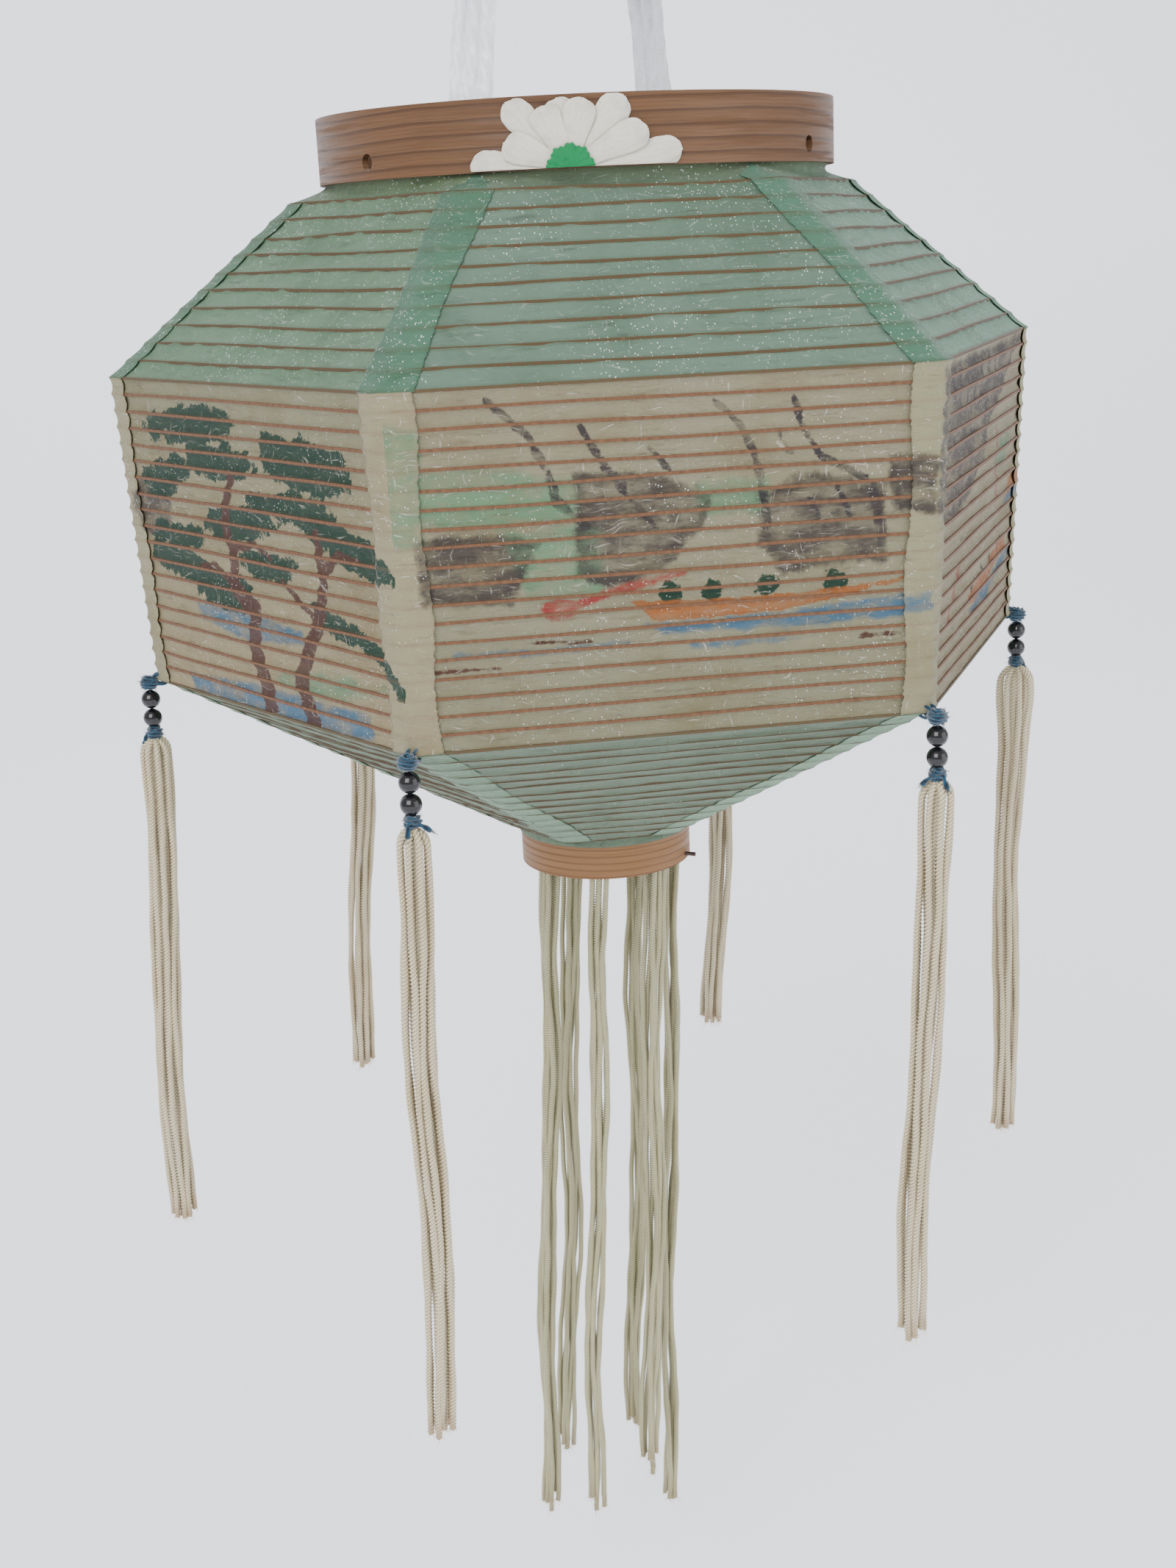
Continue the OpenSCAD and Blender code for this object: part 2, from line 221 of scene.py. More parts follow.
def makeCordShade():  # shadow between the plies, dirt and brown cut ends
    tree, got, give = effect("cordShade", [
        ("Vector", "Vector", None), ("Groove", "Float", 0.0), ("Along", "Float", 0.0)],
        [("Shadow", "Float"), ("Dirt", "Float"), ("Ends", "Float"), ("Height", "Float")])
    tree.links.new(spread(tree, got["Groove"], 0.2, 1.0), give["Shadow"])
    tree.links.new(spread(tree, noise(tree, got["Vector"], 26.0, 4.0, 0.6), 0.42, 0.75), give["Dirt"])
    ends = calc(tree, "ADD", got["Along"], calc(
        tree, "MULTIPLY", calc(tree, "SUBTRACT", noise(tree, got["Vector"], 160.0, 3.0), 0.5), 0.02))
    tree.links.new(spread(tree, ends, 0.955, 1.0), give["Ends"])
    hair = noise(tree, stretched(tree, got["Vector"], 1.0, 1.0, 0.35), 5200.0, 3.0, 0.6)
    tree.links.new(hair, give["Height"])
    return tree


def makeSpeckle():  # fine scattered flecks, such as mica, dust or pinholes
    tree, got, give = effect("speckle", [
        ("Vector", "Vector", None), ("Scale", "Float", 300.0), ("Amount", "Float", 0.2),
        ("Patch", "Float", 10.0)], [("Mask", "Float")])
    cell = put(tree, "TexVoronoi", {"Vector": got["Vector"], "Scale": got["Scale"]})
    chance = put(tree, "SeparateColor", {0: cell.outputs["Color"]}).outputs[0]
    dot = spread(tree, cell.outputs["Distance"], 0.16, 0.3, 1.0, 0.0)
    chosen = calc(tree, "LESS_THAN", chance, got["Amount"])
    where = spread(tree, noise(tree, got["Vector"], got["Patch"], 3.0), 0.42, 0.62)
    tree.links.new(calc(tree, "MULTIPLY", calc(tree, "MULTIPLY", dot, chosen), where), give["Mask"])
    return tree


brushEdge = makeBrushEdge()
fibreMottle = makeFibreMottle()
woodGrain = makeWoodGrain()
cordShade = makeCordShade()
speckle = makeSpeckle()
print("lantern: shared effects ready")


# Small tools for meshes: a part is points, faces and the values it carries
def gridFaces(rows, columns, closedRound=False):
    last = columns if closedRound else columns - 1
    row, column = np.meshgrid(np.arange(rows - 1), np.arange(last), indexing="ij")
    here = row * columns + column
    beside = row * columns + (column + 1) % columns
    return np.stack([here, beside, beside + columns, here + columns], -1).reshape(-1, 4)


def perPoint(value, count):  # one value for all points, or a value each
    value = np.asarray(value, float)
    return value if value.ndim and len(value) == count else np.broadcast_to(value, (count,) + value.shape)


def part(points, quads, triangles=None, **carried):
    points = np.asarray(points, float).reshape(-1, 3)
    return {"points": points, "quads": np.asarray(quads, int).reshape(-1, 4),
            "triangles": np.asarray([] if triangles is None else triangles, int).reshape(-1, 3),
            "carried": {k: perPoint(v, len(points)) for k, v in carried.items()}}


def makePiece(name, parts, material, body, sharpAt=None):
    points = np.concatenate([p["points"] for p in parts])
    starts = np.cumsum([0] + [len(p["points"]) for p in parts])[:-1]
    quads = np.concatenate([p["quads"] + s for p, s in zip(parts, starts)])
    triangles = np.concatenate([p["triangles"] + s for p, s in zip(parts, starts)])
    corners = np.concatenate([quads.ravel(), triangles.ravel()])
    sizes = np.concatenate([np.full(len(quads), 4), np.full(len(triangles), 3)])
    mesh = bpy.data.meshes.new(name)
    mesh.vertices.add(len(points))
    mesh.vertices.foreach_set("co", points.ravel())
    mesh.loops.add(len(corners))
    mesh.loops.foreach_set("vertex_index", corners)
    mesh.polygons.add(len(sizes))
    mesh.polygons.foreach_set("loop_start", np.cumsum(sizes) - sizes)
    mesh.update(calc_edges=True)
    for key in sorted({k for p in parts for k in p["carried"]}):
        values = np.concatenate([np.asarray(p["carried"][key], float) for p in parts])
        if key == "uv":
            mesh.uv_layers.new(name="UVMap").data.foreach_set("uv", values[corners].ravel())
        elif values.ndim == 2:
            mesh.attributes.new(key, "FLOAT_COLOR", "POINT").data.foreach_set("color", values.ravel())
        else:
            mesh.attributes.new(key, "FLOAT", "POINT").data.foreach_set("value", values)
    mesh.shade_smooth()
    if sharpAt is not None:
        mesh.set_sharp_from_angle(angle=math.radians(sharpAt))
    mesh.materials.append(material)
    piece = bpy.data.objects.new(name, mesh)
    bpy.context.scene.collection.objects.link(piece)
    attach(piece, body)
    return piece


def unit(vectors):
    return vectors / np.maximum(np.linalg.norm(vectors, axis=-1, keepdims=True), 1e-12)


def evenly(points, step):  # the same path with points a step apart
    points = np.asarray(points, float)
    run = np.concatenate([[0], np.cumsum(np.linalg.norm(np.diff(points, axis=0), axis=1))])
    count = max(3, int(round(run[-1] / step)) + 1)
    where = np.linspace(0, run[-1], count)
    return np.stack([np.interp(where, run, points[:, k]) for k in range(3)], 1), run[-1]


def tube(points, side, radius, sides=9, lobes=0, depth=0.0, turn=0.0, **carried):
    # A closed tube through points; lobes shift by turn from ring to ring, as twisted plies do
    count = len(points)
    along = unit(np.gradient(points, axis=0))
    side = np.broadcast_to(np.asarray(side, float), points.shape)
    side = unit(side - (side * along).sum(1, keepdims=True) * along)
    up = np.cross(along, side)
    angle = 2 * np.pi * np.arange(sides) / sides
    wave = np.cos(lobes * (angle[None, :] - turn * np.arange(count)[:, None]))
    reach = np.broadcast_to(radius, (count,))[:, None] * (1 - depth * (1 - wave) / 2)
    rings = points[:, None, :] + reach[..., None] * (
        np.cos(angle)[None, :, None] * side[:, None, :] + np.sin(angle)[None, :, None] * up[:, None, :])
    around = np.arange(sides)
    ends = count * sides
    capTop = np.stack([np.full(sides, ends), (around + 1) % sides, around], 1)
    last = (count - 1) * sides
    capFoot = np.stack([np.full(sides, ends + 1), last + around, last + (around + 1) % sides], 1)
    quads = gridFaces(count, sides, True)
    made = np.concatenate([rings.reshape(-1, 3), points[:1], points[-1:]])
    share = np.repeat(np.linspace(0, 1, count), sides)
    facts = {"groove": np.concatenate([((1 - wave) / 2).ravel(), [0.5, 0.5]]),
             "along": np.concatenate([share, [0, 1]])}
    facts.update(carried)
    return part(made, quads, np.concatenate([capTop, capFoot]), **facts)


def hairs(roots, directions, length, thick, rng, droop=0.3, **carried):
    # Fine loose fibres: thin three-sided tapers that bend a little
    made = []
    for root, direction in zip(roots, directions):
        aim = unit(np.asarray(direction) + np.array([rng.gauss(0, 0.35) for _ in range(3)]))
        bend = np.array([rng.gauss(0, 0.3), rng.gauss(0, 0.3), -droop])
        reach = length * rng.uniform(0.5, 1.0)
        share = np.linspace(0, 1, 4)[:, None]
        line = root + aim * reach * share + bend * reach * share ** 2
        taper = thick * np.array([1, 0.8, 0.5, 0.15])
        made.append(tube(line, np.array([0.31, 0.87, 0.4]), taper, 3, **carried))
    return made


def closedSheet(face, normal, thick, **carried):
    # A thin closed sheet: the face, its back and a rim around both
    rows, columns = face.shape[:2]
    back = face - normal * thick
    quads = gridFaces(rows, columns)
    total = rows * columns
    index = np.arange(total).reshape(rows, columns)
    rim = np.concatenate([index[0, :-1], index[:-1, -1], index[-1, :0:-1], index[:0:-1, 0]])
    after = np.roll(rim, -1)
    sides = np.stack([rim, rim + total, after + total, after], 1)
    doubled = {}
    for key, value in carried.items():
        one = np.asarray(value).reshape((total,) + np.shape(value)[2:])
        doubled[key] = np.concatenate([one, one])
    return part(np.concatenate([face.reshape(-1, 3), back.reshape(-1, 3)]),
                np.concatenate([quads, quads[:, ::-1] + total, sides]), **doubled)


def dress(node, material):  # a CAD node keeps its shape and takes this material
    mesh = lantern[node].data
    mesh.materials.clear()
    mesh.materials.append(material)


# Cords of the tassels
cordMaterial = {
    "cream": {"light": (244, 230, 194), "dark": (92, 74, 46), "dirt": (212, 192, 148), "end": (150, 120, 84)},
    "pale": {"light": (214, 208, 166), "dark": (80, 76, 48), "dirt": (184, 178, 132), "end": (140, 120, 86)}}


def makeCordMaterial(name, shades):
    material, tree, shader = newMaterial(name, **{
        "Roughness": 0.42, "Sheen Weight": 0.25, "Sheen Roughness": 0.4, "Specular IOR Level": 0.45})
    place = put(tree, "TexCoord").outputs["Object"]
    shadeAndWear = use(tree, cordShade, {
        "Vector": place, "Groove": mark(tree, "groove"), "Along": mark(tree, "along")})
    dirty = calc(tree, "MULTIPLY", shadeAndWear["Dirt"], 0.7)
    colour = mixed(tree, dirty, paint(*shades["light"]), paint(*shades["dirt"]))
    colour = mixed(tree, calc(tree, "MULTIPLY", shadeAndWear["Shadow"], 0.85), colour, paint(*shades["dark"]))
    colour = mixed(tree, calc(tree, "MULTIPLY", shadeAndWear["Ends"], 0.55), colour, paint(*shades["end"]))
    tree.links.new(colour, shader.inputs["Base Color"])
    tree.links.new(spread(tree, shadeAndWear["Dirt"], 0.0, 1.0, 0.36, 0.6), shader.inputs["Roughness"])
    bumpInto(tree, shader, shadeAndWear["Height"], 0.35, 0.0001)
    return material


creamCord = makeCordMaterial("creamCord", cordMaterial["cream"])
paleCord = makeCordMaterial("paleCord", cordMaterial["pale"])

cornerTassel = {  # sizes in mm; drift is where the end hangs, seen from the top
    "cord": 2.4, "lay": 3.5, "outer": 8, "outerRing": 4.1, "inner": 3, "innerRing": 1.35,
    "dome": 5.0, "wave": 0.4, "endSpread": 4.5,
    "drift": [(-3, 0.5), (-9, 1.5), (-12, 2), (-9, 1.5), (-4, 0.5), (-7.5, 1)],
    "open": [1.45, 1.0, 1.0, 1.05, 1.0, 1.1]}
bottomTassel = {
    "cord": 2.3, "lay": 2.7, "wave": 0.55, "endSpread": 6.0, "over": 2.1, "pairStep": 2.45,
    "direction": [-158, -106, -54, 0, 52, 112],
    "drift": [(-13, 2), (-12, 2), (-9, 1.5), (-9, 1.5), (-9, 1), (-13, 2)]}


def hangingLine(top, length, reach, angle, drift, dome, wave, rng, swing, swell=1.0):
    # One cord of a tassel: out from under the tie over a round shoulder, then down
    depth = np.concatenate([np.linspace(0, dome, 24), np.linspace(dome, length, 120)[1:]])
    share = depth / length
    shoulder = np.sqrt(np.clip(1 - (1 - np.clip(depth / dome, 0, 1)) ** 2, 0, 1))
    loose = 1 + (swell - 1) * np.exp(-((depth - 2 * dome) / (2.2 * dome)) ** 2)
    radial = reach * shoulder * loose * (1 - 0.12 * share)
    turned = angle + rng.uniform(-0.35, 0.35) * share
    sway = wave * np.clip((depth - dome) / (4 * dome), 0, 1)
    first, second, third = (rng.uniform(0, 2 * np.pi) for _ in range(3))
    together = 1.1 * np.clip((depth - dome) / 60, 0, 1)  # the whole bundle curves as one
    x = radial * np.cos(turned) + drift[0] * share + together * np.sin(depth / 26 + swing[0])
    y = radial * np.sin(turned) + drift[1] * share + together * np.sin(depth / 29 + swing[1])
    x = x + sway * np.sin(2 * np.pi * depth / 83 + first)
    x = x + 0.25 * sway * np.sin(2 * np.pi * depth / 23 + third)
    y = y + sway * np.sin(2 * np.pi * depth / 67 + second)
    return np.stack([x, y, -depth], 1) * mm + np.array(top)


def twistedCord(line, side, thick, lay, rng):
    points, length = evenly(line, lay / 9 * mm)
    shade = rng.uniform(0, 1)
    made = tube(points, side, thick / 2 * mm, 9, 3, 0.42, 2 * np.pi / 9, shade=shade)
    return made, points, length


def frayedEnd(points, thick, rng):
    tip = points[-1]
    down = unit(points[-1] - points[-6])
    count = 7
    around = [np.array([math.cos(a), math.sin(a), 0]) for a in np.arange(count) * 2 * np.pi / count]
    roots = [tip + a * thick * 0.33 * mm - down * 0.5 * mm for a in around]
    return hairs(roots, [down + 0.35 * a for a in around], 3.2 * mm, 0.11 * mm, rng, 0.1, shade=0.5)


def declareTassel(node, strand):  # the tassel node is hidden; one strand gives the tassel's cord length
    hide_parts(node)
    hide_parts(node)
    points, length = strand[1], float(strand[2])
    return length


def makeCornerTassel(number):
    spec = cornerTassel
    rng = random.Random(310 + number)
    low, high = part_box(f"tassel_{number}")
    tieLow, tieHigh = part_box(f"tassel_tie_{number}")
    middle = (tieLow + tieHigh) / 2
    top = (middle.x, middle.y, high.z)
    drift = spec["drift"][number - 1]
    swell = spec["open"][number - 1]
    full = (high.z - low.z) / mm
    turn0 = rng.uniform(0, 1)
    places = [(spec["innerRing"], 2 * np.pi * (k + turn0) / spec["inner"]) for k in range(spec["inner"])]
    places += [(spec["outerRing"], 2 * np.pi * (k + turn0) / spec["outer"]) for k in range(spec["outer"])]
    swing = (rng.uniform(0, 6.28), rng.uniform(0, 6.28))
    strands = []
    for index, (reach, angle) in enumerate(places):
        length = full if index == 0 else full - rng.uniform(0.3, spec["endSpread"])
        lift = 0.0 if index == 0 else rng.uniform(-0.6, 0.2)
        line = hangingLine((top[0], top[1], top[2] + lift * mm), length, reach, angle, drift,
                           spec["dome"], spec["wave"], rng, swing, 1 if index < spec["inner"] else swell)
        side = np.array([-math.sin(angle), math.cos(angle), 0])
        strands.append(twistedCord(line, side, spec["cord"], spec["lay"], rng))
    loose = [s[0] for s in strands[1:]] + [f for s in strands for f in frayedEnd(s[1], spec["cord"], rng)]
    body = f"corner_cord_{number}"
    rest = makePiece(f"tassel_strands_{number}", loose, creamCord, body)
    first = makePiece(f"tassel_cord_{number}", [strands[0][0]], creamCord, body)
    return declareTassel(f"tassel_{number}", strands[0])


def makeBottomTassel(number):
    spec = bottomTassel
    rng = random.Random(730 + number)
    low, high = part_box(f"fringe_{number}")
    ringLow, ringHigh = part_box("fringe_ring")
    ringZ = (ringLow.z + ringHigh.z) / 2
    ringR = ringHigh.x - (ringHigh.z - ringLow.z) / 2
    azimuth = math.radians(spec["direction"][number - 1])
    out = np.array([math.cos(azimuth), math.sin(azimuth), 0])
    sideways = np.array([-out[1], out[0], 0])
    drift = spec["drift"][number - 1]
    top = np.array([ringR * out[0], ringR * out[1], high.z])
    full = (high.z - low.z) / mm
    swing = (rng.uniform(0, 6.28), rng.uniform(0, 6.28))
    first = hangingLine(top, full, 0.9, azimuth, drift, 4.0, spec["wave"], rng, swing)
    strands = [twistedCord(first, sideways, spec["cord"], spec["lay"], rng)]
    for pair in (-1, 0, 1):
        shiftRound = pair * spec["pairStep"] * mm
        legs = []
        for inward in (-1, 1):
            start = top + sideways * shiftRound + out * inward * spec["over"] * mm
            legs.append(hangingLine(start, full - rng.uniform(1, spec["endSpread"] + 3), 0.2,
                                    azimuth + inward, drift, 6.0, spec["wave"], rng, swing))
            # The legs draw together over the first 40 mm
            drawn = 0.65 * np.clip((top[2] - legs[-1][:, 2:]) / (40 * mm), 0, 1)
            away = out * inward * spec["over"] * 0.45 * mm + sideways * shiftRound * 0.25
            legs[-1][:, :2] -= drawn * away[:2]
        ringPoint = np.array([0, 0, ringZ]) + sideways * shiftRound
        arc = [ringPoint + out * (ringR + spec["over"] * math.sin(a) * mm)
               + np.array([0, 0, spec["over"] * math.cos(a) * mm]) for a in np.linspace(-1.5, 1.5, 13)]
        line = np.concatenate([legs[0][:1:-1], arc, legs[1][2:]])
        strands.append(twistedCord(line, sideways, spec["cord"], spec["lay"], rng))
    for strand in strands[1:]:  # a looped cord has a cut end at both ends
        carried = strand[0]["carried"]
        carried["along"] = np.abs(2 * carried["along"] - 1)
    frays = [f for s in strands for f in frayedEnd(s[1], spec["cord"], rng)]
    frays += [f for s in strands[1:] for f in frayedEnd(s[1][::-1], spec["cord"], rng)]
    body = f"bottom_cord_{number}"
    loose = [s[0] for s in strands[1:]] + frays
    rest = makePiece(f"fringe_strands_{number}", loose, paleCord, body)
    cord = makePiece(f"fringe_cord_{number}", [strands[0][0]], paleCord, body)
    return declareTassel(f"fringe_{number}", strands[0])


cornerLengths = [makeCornerTassel(number) for number in range(1, 7)]
bottomLengths = [makeBottomTassel(number) for number in range(1, 7)]
print("lantern: corner cords", [round(x * 1000) for x in cornerLengths], "mm")
print("lantern: bottom cords", [round(x * 1000) for x in bottomLengths], "mm")


# Yarn knots, ties and beads
yarn = {"colour": (20, 62, 84), "deep": (6, 26, 40), "pale": (54, 104, 128), "thick": 1.5,
        "knot": (2.5, 2.0), "knotTurns": 5, "tie": (2.1, 1.9), "tieTurns": 4, "fuzz": 70}


def makeYarnMaterial():
    material, tree, shader = newMaterial("tealYarn", **{
        "Roughness": 0.95, "Sheen Weight": 0.6, "Sheen Roughness": 0.5, "Specular IOR Level": 0.2})
    place = put(tree, "TexCoord").outputs["Object"]
    shadeAndWear = use(tree, cordShade, {"Vector": place, "Groove": mark(tree, "groove"), "Along": 0.0})
    colour = mixed(tree, shadeAndWear["Shadow"], paint(*yarn["colour"]), paint(*yarn["deep"]))
    tuft = spread(tree, noise(tree, place, 900.0, 3.0, 0.7), 0.5, 0.8)
    tree.links.new(mixed(tree, calc(tree, "MULTIPLY", tuft, 0.6), colour, paint(*yarn["pale"])),
                   shader.inputs["Base Color"])
    bumpInto(tree, shader, shadeAndWear["Height"], 0.6, 0.0002)
    return material


def makeBeadMaterial():
    material, tree, shader = newMaterial("blackBead", **{
        "Roughness": 0.2, "Coat Weight": 0.5, "Coat Roughness": 0.06, "Specular IOR Level": 0.3})
    place = put(tree, "TexCoord").outputs["Object"]
    cloud = noise(tree, place, 420.0, 4.0)
    tree.links.new(mixed(tree, cloud, paint(6, 6, 8), paint(26, 24, 26)), shader.inputs["Base Color"])
    scuff = spread(tree, noise(tree, stretched(tree, place, 1.0, 1.0, 4.0), 1500.0, 5.0, 0.7), 0.5, 0.85)
    tree.links.new(spread(tree, scuff, 0.0, 1.0, 0.08, 0.4), shader.inputs["Roughness"])
    bumpInto(tree, shader, scuff, 0.15, 0.0001)
    return material


tealYarn = makeYarnMaterial()
blackBead = makeBeadMaterial()


def woundYarn(middle, size, turns, start, rng):
    # Yarn wound round a small egg from its top to its foot
    share = np.linspace(0, 1, 22 * turns)
    polar = np.pi * (0.14 + 0.72 * share)
    spin = start + 2 * np.pi * turns * share
    normal = np.stack([np.sin(polar) * np.cos(spin), np.sin(polar) * np.sin(spin), np.cos(polar)], 1)
    wobble = 1 + 0.09 * np.sin(3.1 * spin + rng.uniform(0, 6))
    points = np.array(middle) + normal * np.array([size[0], size[0], size[1]]) * wobble[:, None] * mm
    return tube(points, normal, yarn["thick"] / 2 * mm, 8, 2, 0.35, 0.45), points, normal


def tuftOfYarn(root, direction, length, rng):
    line = np.array(root) + np.array(direction) * length * mm * np.linspace(0, 1, 10)[:, None]
    line = line + np.array([0, 0, -0.18 * length * mm]) * (np.linspace(0, 1, 10) ** 2)[:, None]
    swell = yarn["thick"] / 2 * np.linspace(0.9, 1.25, 10) * mm
    made = [tube(line, np.array([0.2, 0.3, 0.93]), swell, 8, 2, 0.35, 0.5)]
    tips = [line[-1 - (k % 4)] for k in range(26)]
    return made + hairs(tips, [np.array(direction)] * 26, 2.2 * mm, 0.09 * mm, rng, 0.2, groove=0.2)


def makeKnots(number):
    rng = random.Random(90 + number)
    angle = math.radians(60 * (number - 1))
    out = np.array([math.cos(angle), math.sin(angle), 0])
    beadLow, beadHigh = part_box(f"beads_{number}")
    tieLow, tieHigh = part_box(f"tassel_tie_{number}")
    axis = (tieLow + tieHigh) / 2
    thick = yarn["thick"] * mm
    knotMiddle = (axis.x, axis.y, beadHigh.z + 2.6 * mm)
    made, points, normals = woundYarn(knotMiddle, yarn["knot"], yarn["knotTurns"], rng.uniform(0, 6), rng)
    parts = [made]
    # Two turns over the rib's corner hold the knot
    for shift in (-1.1, 1.1):
        turn = np.linspace(0, 2 * np.pi, 26)
        side = np.array([-out[1], out[0], 0])
        centre = out * (cornerR - 0.9 * mm) + side * shift * mm + np.array([0, 0, cornerZ])
        loop = centre + out * (2.4 * mm * np.cos(turn))[:, None] \
            + np.array([0, 0, 1.0]) * (1.7 * mm * np.sin(turn))[:, None]
        parts.append(tube(loop, side, thick * 0.42, 8, 2, 0.3, 0.5))
    pick = [rng.randrange(len(points)) for _ in range(yarn["fuzz"])]
    roots = [points[k] + normals[k] * thick * 0.3 for k in pick]
    parts += hairs(roots, [normals[k] for k in pick], 1.7 * mm, 0.07 * mm, rng, 0.1, groove=0.2)
    knot = makePiece(f"yarn_knot_{number}", parts, tealYarn, "lower_rim")
    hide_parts(f"corner_knot_{number}")

    tieMiddle = (axis.x, axis.y, beadLow.z - 1.9 * mm)
    made, points, normals = woundYarn(tieMiddle, yarn["tie"], yarn["tieTurns"], rng.uniform(0, 6), rng)
    run = np.linspace(beadHigh.z + 0.4 * mm, beadLow.z - 1.0 * mm, 30)
    core = np.stack([np.full(30, axis.x), np.full(30, axis.y), run], 1)
    parts = [made, tube(core, np.array([1.0, 0, 0]), 0.45 * mm, 6, 2, 0.3, 0.5)]
    sideways = angle + rng.choice([-1, 1]) * rng.uniform(1.2, 1.9)
    aside = np.array([math.cos(sideways), math.sin(sideways), -0.25])
    parts += tuftOfYarn(np.array(tieMiddle) + aside * 1.4 * mm, aside, 4.2, rng)
    downward = unit(out * 0.5 + np.array([0, 0, -1.0]))
    parts += tuftOfYarn(np.array(tieMiddle) + out * 2.2 * mm, downward, 3.4, rng)
    pick = [rng.randrange(len(points)) for _ in range(yarn["fuzz"])]
    roots = [points[k] + normals[k] * thick * 0.3 for k in pick]
    parts += hairs(roots, [normals[k] for k in pick], 1.6 * mm, 0.07 * mm, rng, 0.1, groove=0.2)
    tie = makePiece(f"yarn_tie_{number}", parts, tealYarn, f"corner_cord_{number}")
    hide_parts(f"tassel_tie_{number}")
    dress(f"beads_{number}", blackBead)


for number in range(1, 7):
    makeKnots(number)
print("lantern: yarn knots and beads")


# Wooden pieces: hoops, bar and candle board, and the nails
woods = {  # base, growth line and pore colours; lines is how many to a metre
    "brownCedar": {"base": (105, 73, 46), "line": (61, 39, 22), "pore": (81, 55, 34), "lines": 260,
                   "waver": 0.006, "bump": 0.35},
    "tanCedar": {"base": (137, 99, 61), "line": (100, 63, 34), "pore": (122, 84, 50), "lines": 420,
                 "waver": 0.004, "bump": 0.3},
    "barWood": {"base": (126, 94, 56), "line": (93, 63, 33), "pore": (110, 78, 44), "lines": 520,
                "waver": 0.004, "bump": 0.3}}


def makeWood(name, wood):
    material, tree, shader = newMaterial(name, **{"Roughness": 0.55, "Specular IOR Level": 0.35})
    place = put(tree, "TexCoord").outputs["Object"]
    grain = use(tree, woodGrain, {"Vector": stretched(tree, place, 9.0, 9.0, 1.0),
                                  "Lines": float(wood["lines"]), "Waver": wood["waver"]})
    fine = use(tree, woodGrain, {"Vector": stretched(tree, place, 20.0, 20.0, 1.0),
                                 "Lines": wood["lines"] * 3.7, "Waver": wood["waver"] * 0.6})
    lines = calc(tree, "MULTIPLY", grain["Growth"], 0.75)
    colour = mixed(tree, lines, paint(*wood["base"]), paint(*wood["line"]))
    colour = mixed(tree, calc(tree, "MULTIPLY", fine["Growth"], 0.3), colour, paint(*wood["line"]))
    streaks = spread(tree, noise(tree, stretched(tree, place, 1.0, 1.0, 22.0), 22.0, 5.0, 0.65), 0.4, 0.7)
    colour = mixed(tree, calc(tree, "MULTIPLY", streaks, 0.45), colour, paint(*wood["pore"]))
    stain = spread(tree, noise(tree, place, 16.0, 4.0), 0.5, 0.8)
    colour = mixed(tree, calc(tree, "MULTIPLY", stain, 0.35), colour, paint(*wood["line"]))
    tree.links.new(colour, shader.inputs["Base Color"])
    tree.links.new(spread(tree, streaks, 0.0, 1.0, 0.45, 0.7), shader.inputs["Roughness"])
    height = calc(tree, "SUBTRACT", streaks, calc(tree, "MULTIPLY", grain["Growth"], 0.8))
    bumpInto(tree, shader, height, wood["bump"], 0.0004)
    return material


def makeNailMaterial():
    material, tree, shader = newMaterial("oldNail", **{"Metallic": 1.0, "Roughness": 0.5})
    place = put(tree, "TexCoord").outputs["Object"]
    rust = spread(tree, noise(tree, place, 520.0, 5.0, 0.7), 0.42, 0.62)
    tree.links.new(mixed(tree, rust, paint(96, 92, 90), paint(70, 44, 32)), shader.inputs["Base Color"])
    tree.links.new(spread(tree, rust, 0.0, 1.0, 0.35, 0.85), shader.inputs["Roughness"])
    tree.links.new(spread(tree, rust, 0.0, 1.0, 1.0, 0.2), shader.inputs["Metallic"])
    bumpInto(tree, shader, rust, 0.4, 0.0002)
    return material


def makeThreadMaterial():
    material, tree, shader = newMaterial("linenThread", **{"Roughness": 0.85, "Sheen Weight": 0.3})
    place = put(tree, "CombineXYZ", {0: mark(tree, "along"), 1: mark(tree, "groove")}).outputs[0]
    shadeAndWear = use(tree, cordShade, {"Vector": place, "Groove": mark(tree, "groove"), "Along": 0.0})
    colour = mixed(tree, shadeAndWear["Shadow"], paint(214, 200, 168), paint(128, 112, 84))
    tree.links.new(mixed(tree, shadeAndWear["Dirt"], colour, paint(176, 160, 128)), shader.inputs["Base Color"])
    bumpInto(tree, shader, shadeAndWear["Height"], 0.4, 0.0001)
    return material


brownCedar = makeWood("brownCedar", woods["brownCedar"])
tanCedar = makeWood("tanCedar", woods["tanCedar"])
barWood = makeWood("barWood", woods["barWood"])
oldNail = makeNailMaterial()
linenThread = makeThreadMaterial()
dress("top_hoop", brownCedar)
dress("bottom_hoop", tanCedar)
dress("hanging_bar", barWood)
dress("candle_board", barWood)
dress("candle_spike", oldNail)
dress("board_nails", oldNail)
print("lantern: wood and nails")


# Film straps
film = {"wide": 24, "narrow": 13.4, "waves": 3, "fold": 1.5, "thick": 0.09, "topFold": 26,
        "directions": {"strap_front": -122, "strap_back": 58}}
